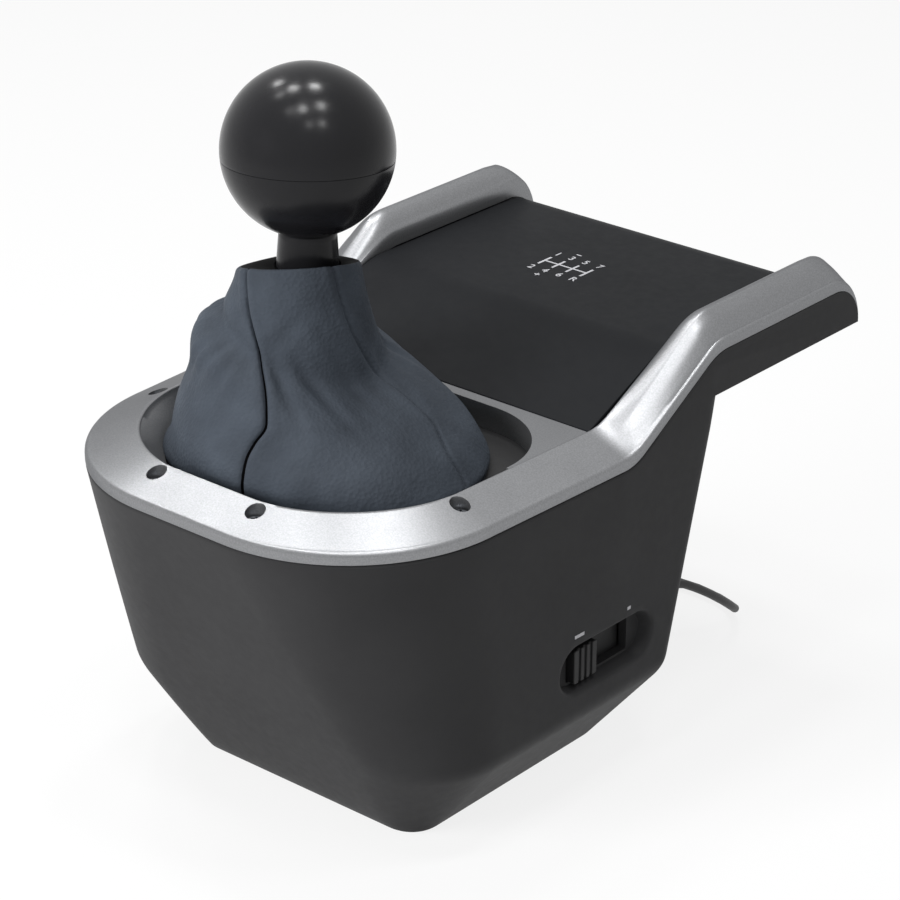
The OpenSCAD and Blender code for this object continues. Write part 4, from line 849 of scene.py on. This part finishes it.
def build_panel():
    rise = PANEL_Z - PANEL_FRONT_Z
    upper = [(y, PANEL_FRONT_Z + rise * ramp(y, PANEL_FRONT_Y, PANEL_BEND_Y, PANEL_EASE))
             for y in steps(PANEL_BEND_Y - PANEL_EASE, PANEL_BEND_Y + PANEL_EASE, 14)]
    roll_h = PANEL_Z - OVERHANG_Z
    upper += [(ROLL_Y + (ROLL_LEN - SHELL_GAP) * sin(radians(a)), OVERHANG_Z + roll_h * cos(radians(a)))
              for a in steps(0, 84, 18)]
    inner_h = roll_h - PANEL_T - TRAY_T - SHELL_GAP
    lower = [(ROLL_Y + (ROLL_LEN - SHELL_GAP - PANEL_T) * sin(radians(a)),
              OVERHANG_Z + TRAY_T + SHELL_GAP + inner_h * cos(radians(a))) for a in steps(72, 0, 10)]
    lower += [(PANEL_BEND_Y + PANEL_T / 2, PANEL_UNDER_Z), (PANEL_FRONT_Y, PANEL_FRONT_Z - PANEL_T)]
    outline = [(PANEL_FRONT_Y, PANEL_FRONT_Z)] + upper + lower
    panel = side_prism("panel", outline, -PANEL_HALF_W, PANEL_HALF_W)
    bevel(panel, 0.5, 3, 50)
    dress(panel, "housing", "panel_black", ["top_panel"], sharp=30)


# Forms of the boot: rows run from 0 at the foot, by 1 at the fold and 2 at the sleeve's edge,
# to 3 at the neck
SKIRT_SHARE = [0, 0.03, 0.09, 0.2, 0.32, 0.51, 0.75, 1]
SKIRT_HEIGHT = [0, 0.1, 0.2, 0.37, 0.5, 0.67, 0.86, 1]
SKIRT_ROWS = 56
SLEEVE_ROWS = 34
LIP_ROWS = 12
# Turn of the front seam from row to row, in degrees
SEAM_TURN = [(0, -86), (0.15, -84.5), (0.3, -83.4), (0.45, -82.8), (0.57, -80), (0.7, -74), (1, -75),
             (1.5, -94), (2, -104), (3, -104)]
SEAM_W = 0.55
SEAM_DEPTH = 1.1
SIDE_SEAM_DEPTH = 0.5
# Black line in the front seam, in degrees to each side
SEAM_BLACK_TURN = 0.6
# Swelling beside each seam: height, distance and width
WELT_OUT = 0.4
WELT_OFF = 2.4
WELT_W = 1.4
# Fullness of the four panels, and slow ripples round the sleeve
FULL_OUT = 1.1
FULL_ROW = 0.45
FULL_ROWS = 0.3
RIPPLE_OUT = 0.2
RIPPLE_COUNT = 5
RIPPLE_ROW = 1.1
RIPPLE_ROWS = 0.45
# Creases: turn, row, slant per row, length in rows, width and depth
CREASES = [
    (-122, 0.82, 60, 0.12, 1.6, 0.8), (-110, 0.86, 50, 0.12, 1.5, 0.9), (-99, 0.82, 35, 0.1, 1.4, 0.7),
    (-62, 0.94, -25, 0.18, 2.4, 0.7), (-40, 0.98, -40, 0.2, 2.6, 0.8), (-12, 0.98, -25, 0.18, 2.8, 0.6),
    (24, 0.95, 20, 0.2, 2.6, 0.7), (58, 0.93, -25, 0.2, 2.4, 0.7), (92, 0.95, 25, 0.2, 2.4, 0.8),
    (128, 0.95, -20, 0.2, 2.6, 0.8), (160, 0.92, 22, 0.2, 2.4, 0.8),
    (-58, 1.35, 60, 0.2, 2.6, 0.4), (-20, 1.3, -70, 0.2, 2.8, 0.4),
    (-65, 0.17, 10, 0.1, 0.9, 0.5), (-61, 0.16, 10, 0.1, 0.9, 0.5)]
# Lobe where the slack hangs over on the left: turn, row, reach in rows and how far it stands out
LOBE_TURN = -152
LOBE_ROW = 0.83
LOBE_ROWS = 0.11
LOBE_OUT = 3.6
LOBE_TUCK = 1.6
# Foot: tucked in under a belly at the front, and spread on the left front
FOOT_TUCK = 1.6
FOOT_TUCK_ROWS = 0.08
BELLY_TURN = -75
BELLY_ROW = 0.3
BELLY_ROWS = 0.14
BELLY_OUT = 2.6
SPREAD_TURN = -140
SPREAD_ROW = 0.05
SPREAD_ROWS = 0.11
SPREAD_OUT = 2.4


def superellipse(t, n):
    c, s = cos(t), sin(t)
    return (abs(c) ** (2 / n) * (1 if c > 0 else -1), abs(s) ** (2 / n) * (1 if s > 0 else -1))


def fold_rise(t):
    return -FOLD_LIFT * cos(t) - FOLD_FRONT_LIFT * sin(t)


def edge_rise(t):
    return SLEEVE_LIFT * cos(t - radians(SLEEVE_LIFT_TURN))


def by_row(values, row):
    return through([(k / (len(values) - 1), v) for k, v in enumerate(values)], row)


def boot_point(t, row):
    """Point on the bare form of the boot, at angle t."""
    if row <= 1:
        s, h = by_row(SKIRT_SHARE, row), by_row(SKIRT_HEIGHT, row)
        foot_y, foot_l = (FOOT_FRONT_Y + FOOT_REAR_Y) / 2, (FOOT_REAR_Y - FOOT_FRONT_Y) / 2
        ex, ey = superellipse(t, lerp(2.1, 2, s))
        x = lerp(0, FOLD_X, s) + lerp(SKIRT_HALF_W, FOLD_HALF_W, s) * ex
        y = lerp(foot_y, FOLD_Y, s) + lerp(foot_l, FOLD_HALF_W, s) * ey + REAR_ROOM * s * max(0, ey)
        return Vector((x, y, lerp(BOOT_FOOT_Z, FOLD_Z, h) + h * fold_rise(t)))
    edge_z = SLEEVE_Z + edge_rise(t)
    if row <= 2:
        h = row - 1
        s = 1 - (1 - h) ** SLEEVE_BOW
        r = lerp(FOLD_HALF_W, SLEEVE_HALF_W, s)
        x, y = lerp(FOLD_X, SLEEVE_X, s), lerp(FOLD_Y, SLEEVE_Y, s)
        y += REAR_ROOM * (1 - s) * max(0, sin(t))
        return Vector((x + r * cos(t), y + r * sin(t), lerp(FOLD_Z + fold_rise(t), edge_z, h)))
    share = row - 2
    neck = KNOB_FRAME @ Vector((0, 0, -NECK_DROP))
    r = lerp(SLEEVE_HALF_W, NECK_FOOT_D / 2 + 0.4, share)
    x, y = lerp(SLEEVE_X, neck.x, share), lerp(SLEEVE_Y, neck.y, share)
    return Vector((x + r * cos(t), y + r * sin(t), lerp(edge_z, neck.z + 1, share ** 0.7)))


def boot_columns():
    """Angles from the front seam, in degrees, close together along the four seams."""
    near = [0, 0.3, 0.6, 1, 1.5, 2.2, 3.2]
    quarter = near + steps(3.2, 86.8, 34)[1:-1] + [90 - d for d in near[:0:-1]]
    return [90 * k + d for k in range(4) for d in quarter]


def boot_relief(turn, row, from_seam, front_seam, radius):
    """How far the leather stands out: grooves along the seams, full panels, creases round the fold."""
    x = abs(radians(from_seam)) * radius
    on_leather = smooth((2.15 - row) / 0.2)
    groove = SEAM_DEPTH if front_seam else SIDE_SEAM_DEPTH
    out = -groove * bell(x, SEAM_W) + WELT_OUT * bell(x - WELT_OFF, WELT_W)
    out += FULL_OUT * sin(radians(2 * abs(from_seam))) * bell(row - FULL_ROW, FULL_ROWS)
    for mid, mid_row, slant, length, width, depth in CREASES:
        away = (turn - mid - slant * (row - mid_row) + 180) % 360 - 180
        gap = radians(away) * radius
        if abs(gap) < 4 * width:
            ridge = 0.6 * bell(abs(gap) - 1.7 * width, width)
            out -= depth * (bell(gap, width) - ridge) * bell(row - mid_row, length)
    on_left = facing(turn, LOBE_TURN, 1.6)
    out += LOBE_OUT * on_left * bell(row - LOBE_ROW, LOBE_ROWS)
    out -= LOBE_TUCK * on_left * bell(row - LOBE_ROW - 2.2 * LOBE_ROWS, LOBE_ROWS)
    out += RIPPLE_OUT * sin(radians(RIPPLE_COUNT * turn) + 5 * row) * bell(row - RIPPLE_ROW, RIPPLE_ROWS)
    out += BELLY_OUT * facing(turn, BELLY_TURN, 3) * bell(row - BELLY_ROW, BELLY_ROWS)
    spread = facing(turn, SPREAD_TURN, 4)
    out -= FOOT_TUCK * (1 - spread) * bell(row, FOOT_TUCK_ROWS)
    out += SPREAD_OUT * spread * bell(row - SPREAD_ROW, SPREAD_ROWS)
    return out * on_leather


def ease_rows(rows, marks, low, high, passes):
    """Rounds the bends between rows whose marks lie from low to high."""
    for _ in range(passes):
        eased_rows = [list(r) for r in rows]
        for i in range(1, len(rows) - 1):
            if low <= marks[i] <= high:
                near = zip(rows[i - 1], rows[i], rows[i + 1])
                eased_rows[i] = [b * 0.5 + (a + c) * 0.25 for a, b, c in near]
        rows = eased_rows
    return rows


def grid_normals(rows):
    """Outward directions on rows of points that run round the boot."""
    count, cols = len(rows), len(rows[0])
    return [[((rows[i][(j + 1) % cols] - rows[i][j - 1]).cross(
        rows[min(i + 1, count - 1)][j] - rows[max(i - 1, 0)][j])).normalized() for j in range(cols)]
        for i in range(count)]


def sharpen_split(mesh):
    """Marks the edges of the flat faces where the boot's two pieces part."""
    def on_split(face):
        return all(abs(mesh.vertices[v].co.z / MM - BOOT_SPLIT_Z) < 0.01 for v in face.vertices)

    keys = {key for face in mesh.polygons if on_split(face) for key in face.edge_keys}
    for edge in mesh.edges:
        if edge.key in keys:
            edge.use_edge_sharp = True


def boot_skin():
    """Rings of the boot's outside and inside, and its columns' angles from the front seam."""
    marks = steps(0, 1, SKIRT_ROWS)[:-1] + steps(1, 2, SLEEVE_ROWS)[:-1] + steps(2, 3, LIP_ROWS)
    columns = boot_columns()
    turns = [[through(SEAM_TURN, row) + c for c in columns] for row in marks]
    form = [[boot_point(radians(t), row) for t in around] for around, row in zip(turns, marks)]
    form = ease_rows(form, marks, 0.7, 2.6, 9)
    normals = grid_normals(form)
    outer = []
    for i, row in enumerate(marks):
        ring = []
        for j, c in enumerate(columns):
            p = form[i][j]
            radius = hypot(p.x - FOLD_X, p.y - FOLD_Y)
            front_seam = not 45 < c < 315
            relief = boot_relief(turns[i][j], row, (c + 45) % 90 - 45, front_seam, radius)
            ring.append(p + normals[i][j] * relief)
        outer.append(ring)
    keep = list(range(0, len(marks), 3)) + [len(marks) - 1] * ((len(marks) - 1) % 3 > 0)
    inner = [[p - n * BOOT_T for p, n in zip(form[i], normals[i])] for i in reversed(keep)]
    return outer, inner, columns


def build_boot_piece(skin, name, node, cut_z, blend_z):
    """Piece of the boot: its skin without what lies between the two heights of cut_z."""
    outer, inner, columns = skin
    boot = loft(name, outer + inner, loop=True)
    boot.data.materials.append(FINISH["boot_leather"])
    boot.data.materials.append(SEAM_AND_SHADE_BLACK)
    # The lip rows at the neck take the black finish as painted shade from the knob above; the front seam's
    # middle faces take it as the seam's dark thread
    lip = len(outer) - LIP_ROWS
    for face in boot.data.polygons:
        i, j = divmod(face.index, len(columns))
        on_seam = columns[j] < SEAM_BLACK_TURN or columns[j] >= 360 - SEAM_BLACK_TURN
        if lip <= i < len(outer) or (i < lip and on_seam):
            face.material_index = 1
    far = 200
    combine(boot, block("cut", (-far, -far, cut_z[0]), (far, far, cut_z[1])), "DIFFERENCE")
    boot.data.shade_smooth()
    boot.data.set_sharp_from_angle(angle=radians(70))
    sharpen_split(boot.data)
    start, end = (Vector((0, LEVER_Y, z)) * MM for z in blend_z)
    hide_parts(node)
    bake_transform(boot)
    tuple(start)
    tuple(end)


def build_boot():
    skin = boot_skin()
    build_boot_piece(skin, "boot_skirt", "boot_lower", (BOOT_SPLIT_Z, 300),
                     (BOOT_FOOT_Z + 2, BOOT_SPLIT_Z - 0.5))
    build_boot_piece(skin, "boot_sleeve", "boot_upper", (0, BOOT_SPLIT_Z),
                     (BOOT_SPLIT_Z + 0.5, SLEEVE_Z - 2))


def build_knob():
    inside = KNOB_R - KNOB_WALL
    cap = arc(0, 0, KNOB_R, 90, -KNOB_SPLIT + PART_TURN, 60)
    cap[0] = (0, KNOB_R)
    cap += [(PART_R - PART_EDGE * 0.3, PART_Z + PART_EDGE * 0.5), (PART_R - PART_EDGE, PART_Z + PART_GAP)]
    cap += [(inside * cos(radians(-KNOB_SPLIT)), PART_Z + PART_GAP)]
    cap += arc(0, 0, inside, 0, 88, 12) + [(0, inside)]
    dress(revolve("knob_cap", cap, KNOB_FRAME, 128), "lever", "knob_black", ["knob_upper"])
    base = [(PART_R - KNOB_WALL, PART_Z - PART_GAP), (PART_R - PART_EDGE, PART_Z - PART_GAP),
            (PART_R - PART_EDGE * 0.3, PART_Z - PART_EDGE * 0.5)]
    base += arc(0, 0, KNOB_R, -KNOB_SPLIT - PART_TURN, -KNOB_SEAT, 40)
    base += [(KNOB_BORE_R, -KNOB_R * sin(radians(KNOB_SEAT))), (KNOB_BORE_R, PART_Z - KNOB_BORE_DEPTH)]
    dress(revolve("knob_base", base, KNOB_FRAME, 128), "lever", "knob_black", ["knob_lower"])


def build_neck():
    """Neck under the knob, and the lock nut in its socket."""
    foot_r, socket_z = NECK_FOOT_D / 2, NECK_H - SOCKET_H
    neck = [(NECK_BORE_R, 0), (foot_r - NECK_EDGE, 0), (foot_r, NECK_EDGE)]
    neck += [(lerp(NECK_FOOT_D, NECK_TOP_D, t) / 2, NECK_H * t) for t in steps(0.1, 0.95, 8)]
    neck += [(NECK_TOP_D / 2 - 0.3, NECK_H), (SOCKET_R, NECK_H), (SOCKET_R, socket_z),
             (NECK_BORE_R, socket_z)]
    neck_frame = KNOB_FRAME @ Matrix.Translation((0, 0, -NECK_DROP))
    dress(revolve("neck", neck, neck_frame, 96), "lever", "knob_black", ["neck_collar"])
    nut = [(NECK_BORE_R, 0), (NUT_W / 2, 0), (NUT_W / 2, NUT_H), (NECK_BORE_R, NUT_H)]
    nut_frame = neck_frame @ Matrix.Translation((0, 0, NECK_H - NUT_H - 0.1))
    dress(revolve("neck_nut", nut, nut_frame, 6), "lever", "steel", ["lock_nut"])


def build_slider():
    y0 = DISH_Y0 + 0.5
    low = (PAD_X - THUMB_PLAY, y0, WINDOW_Z - WINDOW_H / 2 + THUMB_PLAY)
    high = (DISH_X - 1.5, y0 + THUMB_LEN, WINDOW_Z + WINDOW_H / 2 - THUMB_PLAY)
    thumb = rounded_box("slider_thumb", low, high, 0.7)
    for k in (1, 2, 3):
        y = y0 + k * THUMB_LEN / 4
        groove = block("groove", (high[0] - GROOVE_DEPTH, y - GROOVE_HALF_W, low[2] - 1),
                       (high[0] + 1, y + GROOVE_HALF_W, high[2] + 1))
        combine(thumb, groove, "DIFFERENCE")
    bevel(thumb, 0.25, 2, 40)
    dress(thumb, "mode", "inner_plastic", ["mode_thumb"])


# Print: shift diagram on the panel and marks above the slider
PRINT_T = 0.16
DIAGRAM_X = -5.6
DIAGRAM_Y = 66.5
DIAGRAM_PITCH = 5.8
DIAGRAM_COLUMNS = [DIAGRAM_X + k * DIAGRAM_PITCH for k in (-1.5, -0.5, 0.5, 1.5)]
STROKE_LEN = 7
STROKE_W = 0.85
CROSSBAR_SHARE = 0.4
DIGIT_SIZE = 4.2
DIGIT_OFF = 7
DIGIT_SWELL = 0.05
PLUS_OFF = 4.4
MINUS_OFF = 3.8
MINUS_HALF_LEN = 1
MINUS_HALF_W = 0.25
# Marks above the slider: place along the wall, from the window's middle, and half length
MODE_MARKS = [(-14.3, 2.2), (9.5, 0.8)]
MARK_HALF_H = 0.55
MARK_UP = 12
MARK_PROUD = 0.06
MARK_SUNK = 0.3


def glyph(text, x, y):
    """Character that lies on the panel and is read from the front."""
    curve = bpy.data.curves.new("glyph", "FONT")
    curve.body = text
    curve.size = DIGIT_SIZE * MM
    curve.extrude = PRINT_T / 2 * MM
    curve.offset = DIGIT_SWELL * MM
    curve.align_x = "CENTER"
    curve.align_y = "CENTER"
    obj = bpy.data.objects.new("glyph", curve)
    bpy.context.scene.collection.objects.link(obj)
    bpy.context.view_layer.update()
    mesh = bpy.data.meshes.new_from_object(obj.evaluated_get(bpy.context.evaluated_depsgraph_get()))
    bpy.data.objects.remove(obj)
    work = bmesh.new()
    work.from_mesh(mesh)
    bmesh.ops.remove_doubles(work, verts=work.verts, dist=0.001 * MM)
    work.to_mesh(mesh)
    work.free()
    mesh.transform(Matrix.Translation(Vector((x, y, PANEL_Z)) * MM))
    flat = bpy.data.objects.new("glyph", mesh)
    bpy.context.scene.collection.objects.link(flat)
    return flat


def stroke(x, y, half_x, half_y):
    low = (x - half_x, y - half_y, PANEL_Z - PRINT_T / 2)
    high = (x + half_x, y + half_y, PANEL_Z + PRINT_T / 2)
    return block("stroke", low, high)


def build_diagram():
    marks = [stroke(x, DIAGRAM_Y, STROKE_W / 2, STROKE_LEN / 2) for x in DIAGRAM_COLUMNS]
    for a, b in zip(DIAGRAM_COLUMNS, DIAGRAM_COLUMNS[1:]):
        marks.append(stroke((a + b) / 2, DIAGRAM_Y, (b - a - STROKE_W) / 2, STROKE_W * CROSSBAR_SHARE))
    for row, side in (("1357", 1), ("246R", -1)):
        marks += [glyph(text, x, DIAGRAM_Y + side * DIGIT_OFF) for text, x in zip(row, DIAGRAM_COLUMNS)]
    second = DIAGRAM_COLUMNS[1]
    marks.append(glyph("+", second, DIAGRAM_Y - DIGIT_OFF - PLUS_OFF))
    marks.append(stroke(second, DIAGRAM_Y + DIGIT_OFF + MINUS_OFF, MINUS_HALF_LEN, MINUS_HALF_W))
    diagram = marks[0]
    for mark in marks[1:]:
        join(diagram, mark)
    diagram.name = "shift_diagram"
    dress(diagram, "housing", "nylon_white", finish=PRINT_WHITE)


def wall_mark(y, half_len):
    low, high = WINDOW_Z + MARK_UP - MARK_HALF_H, WINDOW_Z + MARK_UP + MARK_HALF_H
    outline = [(y - half_len, low), (y + half_len, low), (y + half_len, high), (y - half_len, high)]
    return prism("mode_marks", outline,
                 lambda u, v, end: (side_x(u, v) + (MARK_PROUD if end else -MARK_SUNK), u, v))


def build_marks():
    long_mark, short_mark = [wall_mark(WINDOW_Y + y, half_len) for y, half_len in MODE_MARKS]
    dress(join(long_mark, short_mark), "housing", "nylon_white", finish=PRINT_WHITE)


# Lead
def coil_point(turn):
    layer = min(COIL_LAYERS - 1, int(turn / COIL_TURNS))
    share = (turn - layer * COIL_TURNS) / COIL_TURNS
    span = COIL_TURNS * TURN_PITCH
    r = COIL_R + span / 2 - (share if layer % 2 == 0 else 1 - share) * span
    change = round(turn / COIL_TURNS)
    past = turn - change * COIL_TURNS
    z = COIL_LIFT + layer * TURN_PITCH
    if 0 < change < COIL_LAYERS and abs(past) <= LAYER_CHANGE:
        climb = TURN_PITCH * (past + LAYER_CHANGE) / (2 * LAYER_CHANGE)
        z = COIL_LIFT + (change - 1) * TURN_PITCH + climb
    a = pi / 2 + 2 * pi * turn
    return (COIL_MID[0] + r * cos(a), COIL_MID[1] + r * sin(a), z)


def build_lead():
    count = int(COIL_LAYERS * COIL_TURNS * COIL_STEPS)
    turns = [coil_point(i / COIL_STEPS) for i in range(count + 1)]
    points = [Vector(p) * MM for p in CORD_ROUTE + turns + TAIL_ROUTE]
    curve = bpy.data.curves.new("lead", "CURVE")
    curve.dimensions = "3D"
    curve.bevel_depth = CORD_D / 2 * MM
    curve.bevel_resolution = 4
    curve.use_fill_caps = True
    line = curve.splines.new("POLY")
    line.points.add(len(points) - 1)
    for spot, p in zip(line.points, points):
        spot.co = (*p, 1)
        spot.radius = 1
    line.use_smooth = True
    lead = bpy.data.objects.new("lead", curve)
    bpy.context.scene.collection.objects.link(lead)
    curve.materials.append(FINISH["cord_black"])
    length = sum((b - a).length for a, b in zip(points, points[1:]))
    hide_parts("usb_cord", "cord_coil", "plug_lead")
    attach(lead, "housing")
    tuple(points[0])


# Stage, in metres: the ceiling lamps' places and powers
FLOOR_HALF = 6
FLOOR_GLOW = 0.84
AMBIENT = 0.2
CEILING_Z = 1.25
LAMP_D = 0.18
CEILING_LAMPS = [
    (-0.57, -0.21, 0.8), (-0.4, 0.02, 2.8), (-0.14, 0.3, 3.2), (0.14, -0.35, 2.4), (0.35, 0, 2.6),
    (0.82, -0.32, 1.4), (0.61, -0.61, 0.8), (-0.06, -0.55, 0.6), (-0.95, 0.17, 2.4)]
FRONT_LAMP_PLACE = (-0.4, -1.25, 0.6)
FRONT_LAMP_D = 0.7
FRONT_LAMP_POWER = 18
LAMP_AIM = (0, -0.03, 0.1)


def seen_rays(nodes, links, share):
    """Share for camera, glossy and transmission rays, and 0 for the rest."""
    path = nodes.new("ShaderNodeLightPath")
    total = path.outputs["Is Camera Ray"]
    for name in ("Is Glossy Ray", "Is Transmission Ray"):
        add = nodes.new("ShaderNodeMath")
        add.operation = "MAXIMUM"
        links.new(total, add.inputs[0])
        links.new(path.outputs[name], add.inputs[1])
        total = add.outputs["Value"]
    scale = nodes.new("ShaderNodeMath")
    scale.operation = "MULTIPLY"
    scale.inputs[1].default_value = share
    links.new(total, scale.inputs[0])
    return scale.outputs["Value"]


def floor_finish():
    mat = bpy.data.materials.new("floor")
    mat.use_nodes = True
    nodes, links = mat.node_tree.nodes, mat.node_tree.links
    shader = nodes["Principled BSDF"]
    shader.inputs["Base Color"].default_value = (0.8, 0.8, 0.8, 1)
    shader.inputs["Roughness"].default_value = 0.9
    shader.inputs["Specular IOR Level"].default_value = 0
    glow = nodes.new("ShaderNodeEmission")
    mix = nodes.new("ShaderNodeMixShader")
    links.new(seen_rays(nodes, links, FLOOR_GLOW), mix.inputs["Fac"])
    links.new(shader.outputs["BSDF"], mix.inputs[1])
    links.new(glow.outputs["Emission"], mix.inputs[2])
    links.new(mix.outputs["Shader"], nodes["Material Output"].inputs["Surface"])
    return mat


def build_stage():
    h = FLOOR_HALF
    mesh = bpy.data.meshes.new("floor")
    mesh.from_pydata([(-h, -h, 0), (h, -h, 0), (h, h, 0), (-h, h, 0)], [], [(0, 1, 2, 3)])
    floor = bpy.data.objects.new("floor", mesh)
    bpy.context.scene.collection.objects.link(floor)
    mesh.materials.append(floor_finish())


def build_world():
    world = bpy.data.worlds.new("studio")
    bpy.context.scene.world = world
    world.use_nodes = True
    nodes, links = world.node_tree.nodes, world.node_tree.links
    soft = nodes["Background"]
    soft.inputs["Color"].default_value = (1, 1, 1, 1)
    soft.inputs["Strength"].default_value = AMBIENT
    white = nodes.new("ShaderNodeBackground")
    white.inputs["Strength"].default_value = 1
    mix = nodes.new("ShaderNodeMixShader")
    links.new(seen_rays(nodes, links, 1), mix.inputs["Fac"])
    links.new(soft.outputs["Background"], mix.inputs[1])
    links.new(white.outputs["Background"], mix.inputs[2])
    links.new(mix.outputs["Shader"], nodes["World Output"].inputs["Surface"])


def lamp(name, place, target, size, power):
    light = bpy.data.lights.new(name, "AREA")
    light.shape = "DISK"
    light.size = size
    light.energy = power
    obj = bpy.data.objects.new(name, light)
    obj.location = place
    obj.rotation_euler = (Vector(target) - Vector(place)).to_track_quat("-Z", "Y").to_euler()
    bpy.context.scene.collection.objects.link(obj)
    return obj


def build_lights():
    build_world()
    for x, y, power in CEILING_LAMPS:
        lamp("ceiling", (x, y, CEILING_Z), LAMP_AIM, LAMP_D, power)
    front = lamp("front", FRONT_LAMP_PLACE, LAMP_AIM, FRONT_LAMP_D, FRONT_LAMP_POWER)
    front.visible_glossy = False


def build_camera():
    data = bpy.data.cameras.new("camera")
    data.lens = CAMERA_LENS
    data.sensor_width = 36
    data.clip_start = 0.01
    cam = bpy.data.objects.new("camera", data)
    cam.location = Vector(CAMERA_PLACE) * MM
    cam.rotation_euler = [radians(a) for a in CAMERA_TURN]
    bpy.context.scene.collection.objects.link(cam)
    bpy.context.scene.camera = cam


def dress_frame():
    """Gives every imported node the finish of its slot."""
    for part in frame["record"]["subparts"]:
        slots = frame["nodes"][part["node"]].data.materials
        slots.clear()
        slots.append(FINISH[part["material_slot"]])


bpy.context.scene.view_settings.view_transform = "Standard"
build_camera()
build_stage()
build_lights()
dress_frame()
build_lead()
build_housing()
build_bezel()
build_panel()
build_boot()
build_knob()
build_neck()
build_slider()
build_diagram()
build_marks()
build_bezel_screws()
